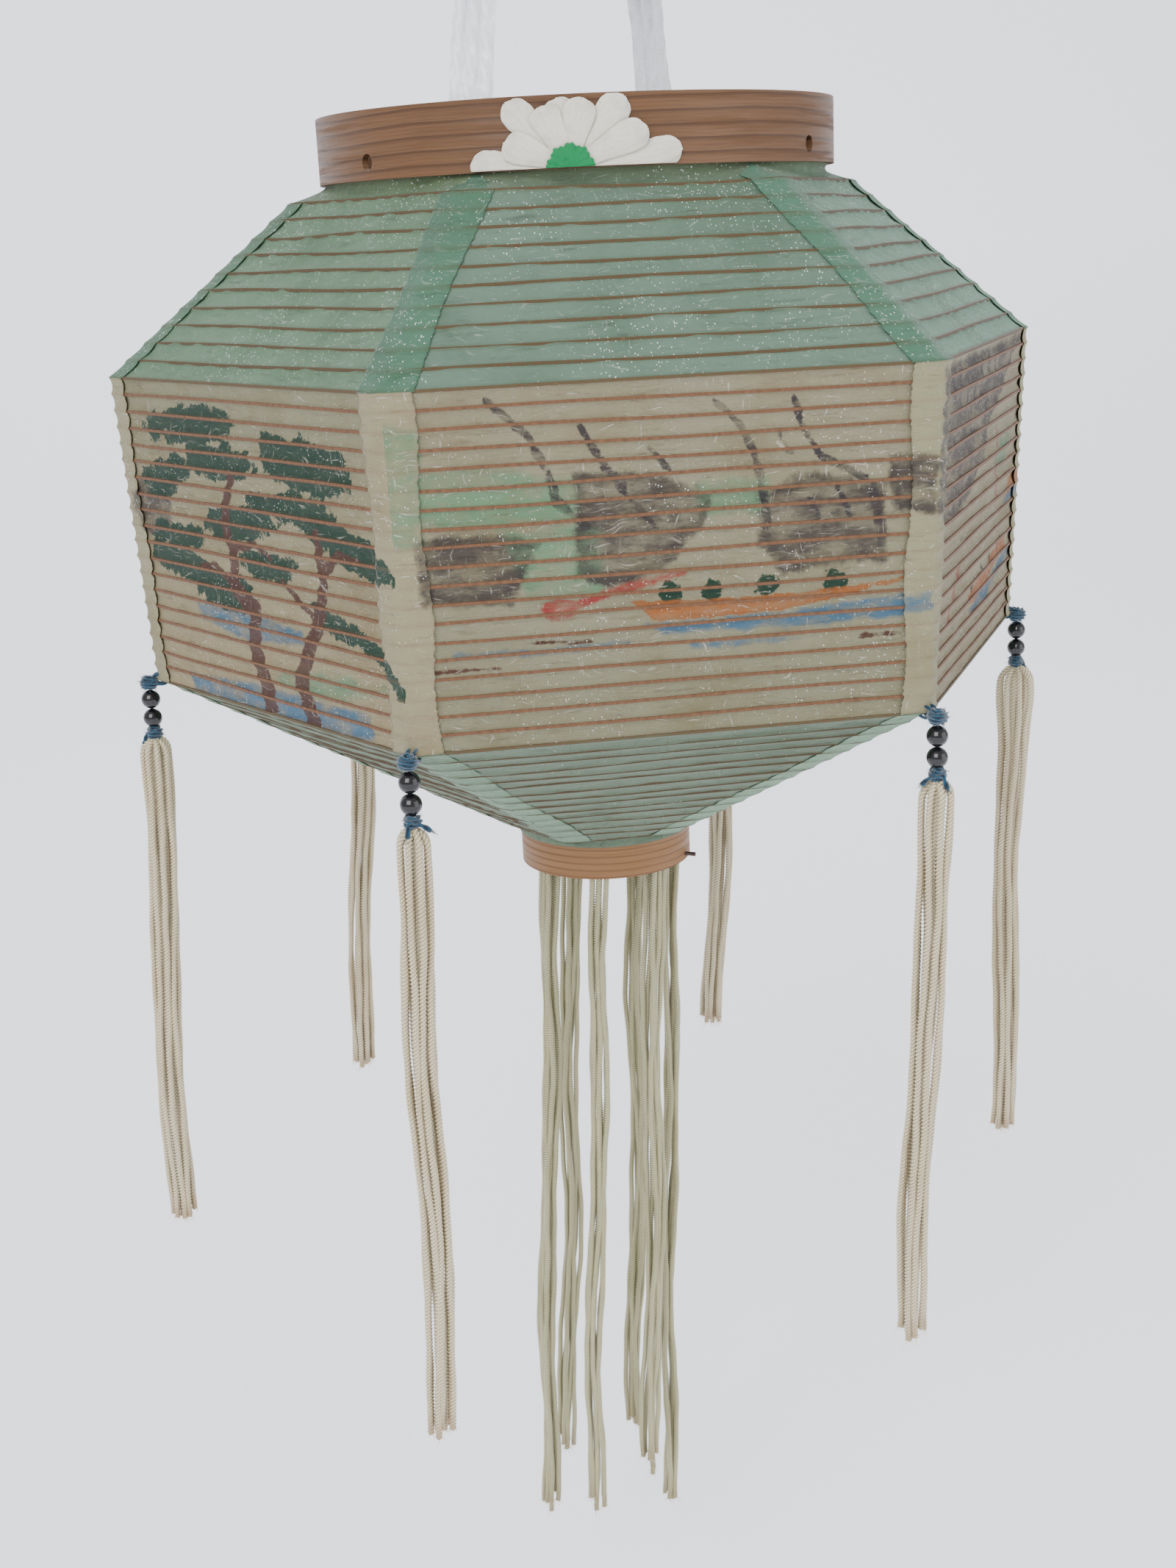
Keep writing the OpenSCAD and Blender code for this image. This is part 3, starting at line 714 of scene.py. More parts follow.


# The film glows a little: painted light, so that it looks lit through and whiter
def makeFilmMaterial():
    material, tree, shader = newMaterial("clearFilm", **{
        "Roughness": 0.14, "Specular IOR Level": 0.6, "Coat Weight": 0.4, "Coat Roughness": 0.08,
        "Emission Color": paint(236, 240, 246), "Emission Strength": 0.3})
    place = put(tree, "TexCoord").outputs["Object"]
    streak = noise(tree, stretched(tree, place, 1.0, 1.0, 0.16), 420.0, 5.0, 0.65)
    cloudy = noise(tree, place, 90.0, 4.0, 0.6)
    milky = calc(tree, "MULTIPLY", spread(tree, streak, 0.4, 0.66), spread(tree, cloudy, 0.36, 0.6))
    colour = mixed(tree, milky, paint(214, 220, 224), paint(250, 252, 254))
    tree.links.new(colour, shader.inputs["Base Color"])
    tree.links.new(spread(tree, milky, 0.0, 1.0, 0.55, 0.96), shader.inputs["Alpha"])
    tree.links.new(spread(tree, milky, 0.0, 1.0, 0.1, 0.4), shader.inputs["Roughness"])
    bumpInto(tree, shader, calc(tree, "ADD", streak, cloudy), 0.7, 0.0006)
    return material


clearFilm = makeFilmMaterial()


def makeStrap(node, direction):
    rng = random.Random(int(direction))
    azimuth = math.radians(direction)
    out = np.array([math.cos(azimuth), math.sin(azimuth), 0])
    across = np.array([-out[1], out[0], 0])
    barTurn = math.radians(film["directions"]["strap_back"])
    barEnd = max(abs(barLow.y), abs(barHigh.y)) / math.sin(barTurn) - 1.0 * mm
    inner = hoopHigh.x - 4.6 * mm
    top = barHigh.z + 0.9 * mm
    route = [(inner, hoopLow.z + 8.5 * mm), (inner, hoopHigh.z - 3 * mm),
             (inner - 1.2 * mm, hoopHigh.z + 2 * mm), (barEnd + 2.6 * mm, barLow.z - 4 * mm),
             (barEnd + 1.7 * mm, barLow.z + 1 * mm), (barEnd + 1.5 * mm, top - 1.5 * mm),
             (barEnd + 0.4 * mm, top), (barEnd - film["topFold"] * mm, top)]
    line, length = evenly([(r * out[0], r * out[1], z) for r, z in route], 0.75 * mm)
    along = unit(np.gradient(line, axis=0))
    proud = unit(np.cross(along, across))
    columns = 73
    cross = np.linspace(-0.5, 0.5, columns)
    run = np.arange(len(line)) * 0.75
    phases = [rng.uniform(0, 6.28) for _ in range(8)]
    drift = 0.9 * np.sin(run / 17 + phases[0]) + 0.5 * np.sin(run / 6.5 + phases[1])
    swell = 0.75 + 0.25 * np.sin(run / 9 + phases[2])
    tighter = (1 + 0.12 * np.sin(run / 23 + phases[3]))[:, None]
    wave = np.sin(2 * np.pi * film["waves"] * cross[None, :] * tighter + drift[:, None])
    wrinkle = 0.35 * np.sin(17 * cross[None, :] + run[:, None] / 2.1 + phases[4]) \
        * np.sin(run[:, None] / 3.3 + 9 * cross[None, :] + phases[5])
    crush = 0.22 * np.sin(41 * cross[None, :] + run[:, None] / 1.3 + phases[6])
    flat = np.clip(np.minimum(run / 8, 1), 0.35, 1)[:, None]
    rise = (film["fold"] * swell[:, None] * wave + wrinkle + crush) * flat
    wide = film["narrow"] * (1 + 0.05 * np.sin(run / 12 + phases[7]))
    lean = 0.7 * np.cos(2 * np.pi * film["waves"] * cross[None, :] + drift[:, None])
    half = np.clip(1 - np.abs(2 * cross) ** 8, 0, 1)[None, :]
    offset = (wide[:, None] * cross[None, :] + lean * half) * mm
    face = line[:, None, :] + across * offset[..., None] + proud[:, None, :] * (rise * mm)[..., None]
    normal = unit(np.cross(np.gradient(face, axis=0), np.gradient(face, axis=1)))
    sheet = closedSheet(face, normal, film["thick"] * mm)
    piece = makePiece("film_" + node, [sheet], clearFilm, "hanger")
    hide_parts(node)
    return length


strapLengths = [makeStrap(node, direction) for node, direction in film["directions"].items()]
print("lantern: film straps", [round(x * 1000) for x in strapLengths], "mm long")


# The walls are three zones of ribs and pleated paper
zones = {  # bays is one more than the ribs between a zone's ends; sag is how far paper hollows
    "upper": {"bays": 11, "top": hoopLow.z, "foot": shoulderZ, "topR": 85.5 * mm, "footR": shoulderR,
              "sag": 0.95, "skin": 0.26, "joint": "upper_fold", "keep": 0.156, "body": "hanger"},
    "middle": {"bays": 19, "top": shoulderZ, "foot": cornerZ, "topR": shoulderR, "footR": cornerR, "sag": 0.9,
               "skin": 0.16, "joint": "middle_fold", "keep": 0.3026, "body": "shoulder"},
    "lower": {"bays": 14, "top": cornerZ, "foot": baseHigh.z + 0.9 * mm, "topR": cornerR, "footR": 37 * mm,
              "sag": 0.8, "skin": 0.38, "joint": "lower_fold", "keep": 0.1333, "body": "lower_rim"}}
wall = {"rows": 6, "columns": 84, "thick": 0.15, "collar": 2.3, "bow": 0.38, "rib": 0.42 * mm, "round": 1.8,
        "stripHalf": 8.4, "stripOut": 0.98, "stripThick": 0.12}
collarR = hoopHigh.x - wall["collar"] * mm


def cornerPoint(side, radius, z):
    angle = math.radians(60 * side)
    return np.stack([radius * math.cos(angle), radius * math.sin(angle), z + 0 * radius], -1)


def ribBow(name, rib, side, share):
    # Each rib bows a little along each side; ribs and paper share these waves
    last = zones[name]["bays"]
    if rib <= 0 or rib >= last:
        return 0 * share, 0 * share
    rng = random.Random(rib * 131 + (side % 6) * 17 + len(name) * 977 + ord(name[0]))
    outward = rng.gauss(0, 0.5) * np.sin(np.pi * share) + rng.gauss(0, 0.3) * np.sin(2 * np.pi * share)
    upward = rng.gauss(0, 0.6) * np.sin(np.pi * share) + rng.gauss(0, 0.45) * np.sin(2 * np.pi * share) \
        + rng.gauss(0, 0.25) * np.sin(3 * np.pi * share)
    return wall["bow"] * outward * mm, wall["bow"] * upward * mm


def wallFace(name, side, share, sagMm, out, rowsPerBay):
    # Face of one side, from the zone's top row down; share runs from left corner to right corner
    zone = zones[name]
    middle = math.radians(60 * side + 30)
    normal = np.array([math.cos(middle), math.sin(middle), 0])
    rows, drops = [], []
    for bay in range(zone["bays"]):
        steps = np.arange(rowsPerBay + (bay == zone["bays"] - 1)) / rowsPerBay
        bowTop = ribBow(name, bay, side, share)
        bowFoot = ribBow(name, bay + 1, side, share)
        for step in steps:
            at = (bay + step) / zone["bays"]
            z = zone["top"] + (zone["foot"] - zone["top"]) * at
            radius = zone["topR"] + (zone["footR"] - zone["topR"]) * at
            left = cornerPoint(side, np.float64(radius), z)
            right = cornerPoint(side + 1, np.float64(radius), z)
            line = left * (1 - share)[:, None] + right * share[:, None]
            if name == "upper" and bay == 0:  # from the round hoop to the first hexagon
                line = roundRow(side, share, collarR, z) * (1 - step) + line * step
            hollow = sagMm * (4 * step * (1 - step)) ** 0.75
            push = (out - hollow) * mm + bowTop[0] * (1 - step) + bowFoot[0] * step
            line = line + normal * np.broadcast_to(push, share.shape)[:, None]
            line[:, 2] += bowTop[1] * (1 - step) + bowFoot[1] * step
            rows.append(line)
            drops.append((zone["top"] - z) / mm)
    return np.array(rows), np.array(drops)


def roundRow(side, share, radius, z):
    angle = np.radians(60 * (side + share))
    return np.stack([radius * np.cos(angle), radius * np.sin(angle), np.full(len(share), z)], 1)


def withEnds(name, side, share, face, drops, out):
    # The upper paper starts as a collar in the hoop, the lower one ends as a cuff round its hoop
    if name == "upper":
        collar = np.array([roundRow(side, share, collarR, hoopLow.z + h * mm) for h in (2.1, 1.0)])
        return np.concatenate([collar, face]), np.concatenate([[-2.1, -1.0], drops])
    if name == "lower":
        cuffR = baseHigh.x + (0.45 + out * 0.5) * mm
        cuff = np.array([roundRow(side, share, cuffR, baseHigh.z - h * mm) for h in (0.4, 1.7, 3.0)])
        cuffDrops = drops[-1] + np.array([1.3, 2.6, 3.9])
        return np.concatenate([face, cuff]), np.concatenate([drops, cuffDrops])
    return face, drops


def foldFlat(piece, node):  # the piece stands for this node, which is hidden, and gets a mesh of its own
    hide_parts(node)
    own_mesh(piece)


def crinkled(face, amount, seed):
    rng = random.Random(seed)
    rows, columns = face.shape[:2]
    row, column = np.meshgrid(np.arange(rows), np.arange(columns), indexing="ij")
    rough = 0 * row.astype(float)
    for _ in range(9):
        rough += np.sin(row * rng.uniform(0.3, 1.7) + column * rng.uniform(-0.9, 0.9) + rng.uniform(0, 6.28))
    normal = unit(np.cross(np.gradient(face, axis=0), np.gradient(face, axis=1)))
    normal *= np.sign((normal * face * np.array([1, 1, 0])).sum(-1, keepdims=True))
    return face + normal * (rough * amount / 3 * mm)[..., None], normal


# The painting: each brush mark is a distance in mm that the paper carries
def blob(u, w, wide, tall, tilt=0.0):
    turn = math.radians(tilt)

    def distance(x, y):
        a = (x - u) * math.cos(turn) + (y - w) * math.sin(turn)
        b = (y - w) * math.cos(turn) - (x - u) * math.sin(turn)
        return (np.sqrt((a / wide) ** 2 + (b / tall) ** 2) - 1) * min(wide, tall)
    return distance


def stroke(route, start, end=None):
    finish = start if end is None else end

    def distance(x, y):
        best = np.full(x.shape, 99.0)
        count = len(route) - 1
        for k in range(count):
            (ax, ay), (bx, by) = route[k], route[k + 1]
            share = np.clip(((x - ax) * (bx - ax) + (y - ay) * (by - ay))
                            / ((bx - ax) ** 2 + (by - ay) ** 2), 0, 1)
            wide = start + (finish - start) * (k + share) / count
            away = np.hypot(x - ax - share * (bx - ax), y - ay - share * (by - ay))
            best = np.minimum(best, away - wide / 2)
        return best
    return distance


def wash(outline):
    def distance(x, y):
        best = np.full(x.shape, 1e6)
        inside = np.zeros(x.shape, bool)
        for (ax, ay), (bx, by) in zip(outline, outline[1:] + outline[:1]):
            share = np.clip(((x - ax) * (bx - ax) + (y - ay) * (by - ay))
                            / ((bx - ax) ** 2 + (by - ay) ** 2), 0, 1)
            best = np.minimum(best, np.hypot(x - ax - share * (bx - ax), y - ay - share * (by - ay)))
            if ay != by:
                inside ^= ((ay > y) != (by > y)) & (x < (bx - ax) * (y - ay) / (by - ay) + ax)
        return np.where(inside, -best, best)
    return distance


def cloudOfNeedles(u, w, wide, tall, tilt=0.0):  # a pine cloud: a flat foot and a scalloped top
    turn = math.radians(tilt)
    marks = [blob(u, w, wide * 0.97, tall * 0.86, tilt)]
    count = max(3, int(wide / 4.5))
    for k in range(count):
        x = (2 * (k + 0.5) / count - 1) * wide * 0.85
        y = -tall * 0.42 * (1 - (x / wide) ** 2) + (0.6 if k % 2 else -0.5)
        atU = u + x * math.cos(turn) - y * math.sin(turn)
        atW = w + x * math.sin(turn) + y * math.cos(turn)
        marks.append(blob(atU, atW, wide * 0.9 / count + 1.8, tall * 0.62, tilt))
    return marks


def pineTree():
    clouds = [(-30, 13.5, 26, 6, -4), (-14, 23.5, 20, 5.5, 0), (-49, 30, 15, 6, -14), (33, 22, 24, 8, 5),
              (20, 34, 21, 4.5, -3), (-6, 41, 21, 5.5, -6), (48, 42, 29, 6, 16), (-45, 48, 15, 4.5, 0),
              (-44, 56.5, 21, 5, 6), (8, 52.5, 15, 4.5, 0), (-21, 62.5, 17, 6, 4), (42, 66, 12, 3.5, 14)]
    needles = [stroke([(34, 65), (52, 67), (63, 72), (72, 80)], 4, 6)]
    for u, w, wide, tall, tilt in clouds:
        needles += cloudOfNeedles(u, w, wide * 1.04, tall * 1.02, tilt)
    trunk = [(-8, 27), (-16, 42), (-12, 50), (-14, 61), (-3, 66), (-7, 78), (-2, 88), (-1, 97)]
    secondTrunk = [(36, 40), (37, 54), (32, 66), (24, 76), (18, 85), (23, 97)]
    branches = ([(-14, 60), (-24, 55), (-34, 56)], [(-9, 48), (2, 46), (10, 50)],
                [(37, 52), (46, 45), (58, 46)], [(33, 66), (24, 62), (14, 55)])
    return {
        "pine": needles,
        "trunk": [stroke(trunk, 3.6, 8), stroke(secondTrunk, 3.6, 7.5)]
        + [stroke(branch, 3, 1.6) for branch in branches],
        "water": [wash([(-39, 68), (-20, 66), (22, 70), (24, 74), (-10, 76), (-37, 73)]),
                  wash([(-50, 92), (-10, 90), (52, 89), (56, 97), (-48, 98)])],
        "mint": [blob(30, 84, 26, 3.5, -4)], "mauve": [blob(-60, 40, 12, 10)]}


def twoMountains():
    return {
        "ink": [stroke([(-48, 4), (-38, 13), (-33, 22), (-31, 30), (-23, 38)], 1.8, 2.6),
                stroke([(-24, 11), (-20, 18), (-13, 28)], 1.2, 2.4), stroke([(-19, 22), (-14, 27)], 1.5),
                stroke([(-5, 18), (0, 25)], 1, 2),
                stroke([(13, 7), (20, 14), (23, 21), (25, 29), (27, 41)], 1.6, 2.4),
                stroke([(34, 7), (37, 16), (42, 24), (56, 31), (59, 48)], 1.4, 2.6),
                stroke([(29, 14), (33, 22)], 1, 1.8), stroke([(46, 31), (50, 40)], 1.4),
                stroke([(-12, 30), (-4, 40)], 1, 2.2), stroke([(38, 34), (43, 44)], 1, 2)],
        "mauve": [wash([(-26, 24), (-5, 25), (11, 32), (9, 40), (-1, 50), (-14, 55), (-26, 52)]),
                  wash([(24, 32), (40, 28), (60, 31), (60, 53), (31, 54), (24, 46)]),
                  wash([(-70, 39), (-50, 38), (-36, 42), (-44, 58), (-69, 57)]),
                  wash([(60, 24), (75, 25), (75, 41), (62, 40)])],
        "mint": [wash([(-78, 8), (-66, 9), (-67, 40), (-78, 42)]),
                 wash([(-73, 22), (-50, 21), (-24, 26), (-26, 36), (-72, 36)]),
                 wash([(-46, 38), (-20, 38), (-18, 57), (-40, 58)]),
                 wash([(8, 29), (27, 29), (26, 38), (8, 38)])],
        "pine": [blob(u, 57.6, 3.2, 3.4) for u in (0, 11, 27, 45.5)],
        "red": [blob(-31, 60.5, 5, 3.2, 10), stroke([(-30, 61), (-18, 56.5), (3, 52)], 3, 1.8)],
        "rust": [wash([(-12, 59.5), (16, 60.5), (38, 60), (61, 58.5), (50, 62), (32, 65), (8, 65.6),
                       (-5, 65.5)]),
                 stroke([(59, 59.5), (72, 57)], 1.6, 1)],
        "water": [wash([(-8, 66.3), (30, 66), (74, 62), (75, 68.5), (40, 70), (-2, 69.5)]),
                  stroke([(-60, 71), (-35, 72), (-12, 71)], 1, 1.4), stroke([(5, 73), (36, 73.5)], 1.2)],
        "trunk": [stroke([(-40, 69), (-22, 70)], 0.9), stroke([(-66, 75), (-48, 75.5)], 0.9),
                  stroke([(52, 74), (66, 74)], 0.9)]}


def farShore():
    return {
        "mauve": [wash([(-75, 2), (67, 2), (44, 10), (30, 17), (13, 24), (0, 34), (-18, 43), (-50, 47),
                        (-75, 42)])],
        "ink": [stroke([(u, 3 + k % 2), (u + 4, 12), (u - 1, 21), (u + 3 - k % 3, 30 - k)], 2.2, 1.2)
                for k, u in enumerate((-70, -58, -47, -35, -24, -12, 0, 12))]
        + [stroke([(26, 3), (30, 9), (34, 13)], 1.8), stroke([(42, 3), (46, 8)], 1.6)],
        "red": [stroke([(26, 29), (29, 40), (34, 53)], 2, 3),
                stroke([(-31, 62), (-38, 68), (-49, 77)], 2, 3)],
        "rust": [wash([(52, 51), (75, 45), (75, 50), (60, 54)]),
                 wash([(-20, 77), (10, 73), (60, 66), (56, 72), (0, 80)])],
        "water": [wash([(50, 55), (75, 50), (75, 55), (54, 58)]),
                  wash([(-12, 81), (30, 77), (66, 72), (66, 76), (0, 84)])],
        "pine": [blob(u, 75 - 0.12 * (u + 18), 2, 2.2) for u in (-6, 10, 26, 42)],
        "mint": [blob(40, 36, 14, 6, -10)]}


def turnedOver(marks):  # the same motif seen the other way round, for the back sides
    return {name: [(lambda x, y, m=m: m(-x, y)) for m in shapes] for name, shapes in marks.items()}


layers = ("mint", "mauve", "water", "ink", "pine", "trunk", "rust", "red")
paintings = [turnedOver(twoMountains()), turnedOver(pineTree()), turnedOver(farShore()), pineTree(),
             twoMountains(), farShore()]
groundTops = [(139, 132, 110), (132, 128, 103), (138, 134, 110),  # each side's bare paper at its top
              (127, 125, 98), (138, 132, 108), (139, 134, 110)]
groundFeet = [(128, 125, 100), (140, 126, 96), (135, 128, 102),  # and at its foot
              (142, 129, 98), (126, 124, 99), (138, 130, 103)]


def paintedMarks(side, u, w):
    marks = {}
    for layer in layers:
        shapes = paintings[side % 6].get(layer, [])
        near = [shape(u, w) for shape in shapes]
        marks[layer] = np.clip(np.minimum.reduce(near), -9, 9) if near else np.full(u.shape, 9.0)
    return marks


def groundTint(side, w, depth):
    top = np.array([paint(*groundTops[side % 6])])
    foot = np.array([paint(*groundFeet[side % 6])])
    share = np.clip(w / depth, 0, 1)[..., None]
    return top * (1 - share) + foot * share


paper = {  # brush layer: colour, ragged edge, soft edge, cover, cover where it fades, dark rim
    "mint": ((92, 132, 98), 8.0, 1.6, 0.85, 0.3, 0.15), "mauve": ((58, 50, 48), 9.0, 1.2, 0.9, 0.32, 0.35),
    "water": ((52, 98, 126), 4.5, 0.9, 0.9, 0.3, 0.2), "ink": ((44, 38, 42), 4.0, 0.3, 0.95, 0.35, 0.0),
    "pine": ((2, 46, 30), 8.5, 0.25, 0.99, 0.95, 0.0), "trunk": ((66, 34, 24), 3.2, 0.3, 0.97, 0.88, 0.0),
    "rust": ((146, 84, 34), 2.4, 0.3, 0.94, 0.6, 0.15), "red": ((150, 36, 36), 3.2, 0.7, 0.9, 0.35, 0.2)}


def makePaintedPaper():
    material, tree, shader = newMaterial("paintedPaper", **{
        "Roughness": 0.72, "Specular IOR Level": 0.3, "Sheen Weight": 0.08})
    place = put(tree, "UVMap", uv_map="UVMap").outputs[0]
    shift = mark(tree, "shift")
    mottle = use(tree, fibreMottle, {"Vector": place, "Cloud": 9.0, "Fibre": 42.0, "Shift": shift})
    colour = mark(tree, "tint", 0)
    darker = mixed(tree, 1.0, colour, paint(214, 196, 160), "MULTIPLY")
    cloudy = calc(tree, "MULTIPLY", spread(tree, mottle["Tone"], 0.42, 0.75), 0.6)
    colour = mixed(tree, cloudy, colour, darker)
    for k, layer in enumerate(layers):
        shade, ragged, soft, cover, faded, rimmed = paper[layer]
        edge = use(tree, brushEdge, {
            "Vector": place, "Distance": mark(tree, layer), "Ragged": ragged, "Soft": soft,
            "Grain": 26.0 + 9 * k, "Shift": shift})
        streaky = noise(tree, stretched(tree, place, 1.0, 2.6, 1.0), 13.0 + k, 7.0, 0.72, shift)
        strength = spread(tree, streaky, 0.38, 0.58, faded, cover)
        colour = mixed(tree, calc(tree, "MULTIPLY", edge["Mask"], strength), colour, paint(*shade))
        rim = mixed(tree, 1.0, colour, paint(150, 146, 150), "MULTIPLY")
        colour = mixed(tree, calc(tree, "MULTIPLY", edge["Rim"], rimmed), colour, rim)
    # Painted shade: the colour darkens along the wrinkles, as shade in the paper's creases
    wrinkle = noise(tree, stretched(tree, place, 1.0, 9.0, 1.0), 20.0, 6.0, 0.72, shift)
    shadeAndWear = mixed(tree, 1.0, colour, paint(158, 140, 122), "MULTIPLY")
    colour = mixed(tree, calc(tree, "MULTIPLY", spread(tree, wrinkle, 0.52, 0.72), 0.55), colour, shadeAndWear)
    colour = mixed(tree, calc(tree, "MULTIPLY", mottle["Fibres"], 0.28), colour, paint(232, 226, 208))
    flecks = use(tree, speckle, {"Vector": place, "Scale": 300.0, "Amount": 0.22, "Patch": 9.0})
    colour = mixed(tree, calc(tree, "MULTIPLY", flecks["Mask"], 0.75), colour, paint(240, 240, 232))
    grime = spread(tree, mark(tree, "fold"), 0.55, 1.0)
    colour = mixed(tree, calc(tree, "MULTIPLY", grime, 0.22), colour, paint(126, 100, 74))
    tree.links.new(colour, shader.inputs["Base Color"])
    height = calc(tree, "ADD", mottle["Height"], calc(tree, "MULTIPLY", wrinkle, 2.5))
    bumpInto(tree, shader, height, 0.7, 0.0006)
    return material


def makeGreenPaper(name, fleck, fleckAmount, fibreShade, fibreCover):
    material, tree, shader = newMaterial(name, **{
        "Roughness": 0.7, "Specular IOR Level": 0.35, "Sheen Weight": 0.1})
    place = put(tree, "UVMap", uv_map="UVMap").outputs[0]
    shift = mark(tree, "shift")
    mottle = use(tree, fibreMottle, {"Vector": place, "Cloud": 7.0, "Fibre": 46.0, "Shift": shift})
    colour = mark(tree, "tint", 0)
    darker = mixed(tree, 1.0, colour, paint(196, 206, 190), "MULTIPLY")
    colour = mixed(tree, calc(tree, "MULTIPLY", spread(tree, mottle["Tone"], 0.4, 0.72), 0.8), colour, darker)
    colour = mixed(tree, calc(tree, "MULTIPLY", mottle["Fibres"], fibreCover), colour, paint(*fibreShade))
    # Painted shade: the colour darkens along the wrinkles, as shade in the paper's creases
    wrinkle = noise(tree, stretched(tree, place, 1.0, 8.0, 1.0), 18.0, 6.0, 0.72, shift)
    shadeAndWear = mixed(tree, 1.0, colour, paint(150, 146, 130), "MULTIPLY")
    colour = mixed(tree, calc(tree, "MULTIPLY", spread(tree, wrinkle, 0.52, 0.72), 0.6), colour, shadeAndWear)
    flecks = use(tree, speckle, {"Vector": place, "Scale": 330.0, "Amount": fleckAmount, "Patch": 8.0})
    colour = mixed(tree, calc(tree, "MULTIPLY", flecks["Mask"], 0.9), colour, paint(*fleck))
    grime = spread(tree, mark(tree, "fold"), 0.5, 1.0)
    colour = mixed(tree, calc(tree, "MULTIPLY", grime, 0.4), colour, paint(66, 72, 48))
    tree.links.new(colour, shader.inputs["Base Color"])
    tree.links.new(spread(tree, flecks["Mask"], 0.0, 1.0, 0.72, 0.25), shader.inputs["Roughness"])
    height = calc(tree, "ADD", mottle["Height"], calc(tree, "MULTIPLY", wrinkle, 2.5))
    bumpInto(tree, shader, height, 0.6, 0.0005)
    return material


def makeRibMaterial():
    material, tree, shader = newMaterial("stainedBamboo", **{"Roughness": 0.6, "Specular IOR Level": 0.35})
    run = mark(tree, "run")
    across = mark(tree, "rib")
    vector = put(tree, "CombineXYZ", {0: run, 1: across}).outputs[0]
    streak = noise(tree, stretched(tree, vector, 30.0, 1.0, 1.0), 3.0, 4.0, 0.6)
    colour = mixed(tree, spread(tree, streak, 0.35, 0.7), mark(tree, "stain", 0), paint(84, 56, 36))
    bare = spread(tree, noise(tree, stretched(tree, vector, 12.0, 1.0, 1.0), 2.0, 3.0), 0.6, 0.72)
    colour = mixed(tree, calc(tree, "MULTIPLY", bare, 0.35), colour, paint(170, 124, 80))
    tree.links.new(colour, shader.inputs["Base Color"])
    tree.links.new(spread(tree, streak, 0.0, 1.0, 0.45, 0.75), shader.inputs["Roughness"])
    bumpInto(tree, shader, streak, 0.3, 0.0002)
    return material


paintedPaper = makePaintedPaper()
sagePaper = makeGreenPaper("sagePaper", (236, 242, 236), 0.34, (196, 210, 192), 0.22)
olivePaper = makeGreenPaper("olivePaper", (190, 200, 176), 0.05, (84, 92, 66), 0.5)
stainedBamboo = makeRibMaterial()

tints = {  # a side's colour and its corner strip's colour; the sides go round from the right-hand corner
    "upper": [(95, 120, 98), (93, 116, 96), (89, 116, 92), (90, 120, 92), (95, 120, 102), (88, 126, 103)],
    "upperStrip": [(76, 118, 93), (75, 109, 84), (73, 107, 82), (75, 109, 84), (67, 108, 83), (67, 108, 84)],
    "middleStrip": [(146, 142, 110), (148, 143, 112), (146, 142, 110),
                    (142, 137, 107), (144, 136, 107), (141, 137, 107)],
    "lower": [(95, 112, 91), (92, 109, 88), (95, 111, 88), (93, 111, 88), (89, 106, 86), (96, 112, 92)],
    "lowerStrip": [(111, 142, 115), (110, 139, 112), (108, 137, 111),
                   (110, 139, 112), (104, 132, 107), (111, 140, 114)]}
paperLook = {"upper": sagePaper, "middle": paintedPaper, "lower": olivePaper}


def carriedBy(name, side, u, w, step, tint, shift):  # fold is 1 at the ribs and 0 between them
    facts = {"uv": np.stack([0.5 + u / 240, 0.98 - w / 240], -1), "shift": np.full(u.shape, shift),
             "fold": np.abs(2 * step - 1), "tint": tint}
    if name == "middle":
        facts.update(paintedMarks(side, u, w))
    return facts


def bayStep(name):  # where each row lies within its bay, 0 and 1 at the ribs
    rows = np.arange(zones[name]["bays"] * wall["rows"] + 1) / wall["rows"]
    step = rows % 1
    if name == "upper":
        step = np.concatenate([[0.5, 0.5], step])
    if name == "lower":
        step = np.concatenate([step, [0.5, 0.5, 0.5]])
    return step


def makePanel(name, side):
    zone = zones[name]
    share = np.linspace(0, 1, wall["columns"] + 1)
    face, drops = wallFace(name, side, share, zone["sag"], zone["skin"], wall["rows"])
    face, drops = withEnds(name, side, share, face, drops, zone["skin"])
    face, normal = crinkled(face, 0.11, side * 7 + len(name))
    u = (share - 0.5)[None, :] * np.linalg.norm(face[:, -1] - face[:, 0], axis=1)[:, None] / mm
    w = np.repeat(drops[:, None], len(share), 1)
    step = np.repeat(bayStep(name)[:, None], len(share), 1)
    if name == "middle":
        tint = groundTint(side, w, drops[-1])
    else:
        tint = np.broadcast_to(np.array(paint(*tints[name][side])), w.shape + (4,))
    if name == "upper":  # the band under the hoop is darker where the paper goes from round to six-sided: painted shade from the hoop above
        dark = np.clip(1 - w / 7, 0, 1)[..., None] * 0.62
        tint = tint * (1 - dark) + np.array(paint(96, 98, 62)) * dark
    facts = carriedBy(name, side, u, w, step, tint, side + len(name) * 0.37)
    sheetPart = closedSheet(face, normal, wall["thick"] * mm, **facts)
    piece = makePiece(f"{name}_panel_{side + 1}", [sheetPart], paperLook[name], zone["body"])
    foldFlat(piece, f"{name}_paper")


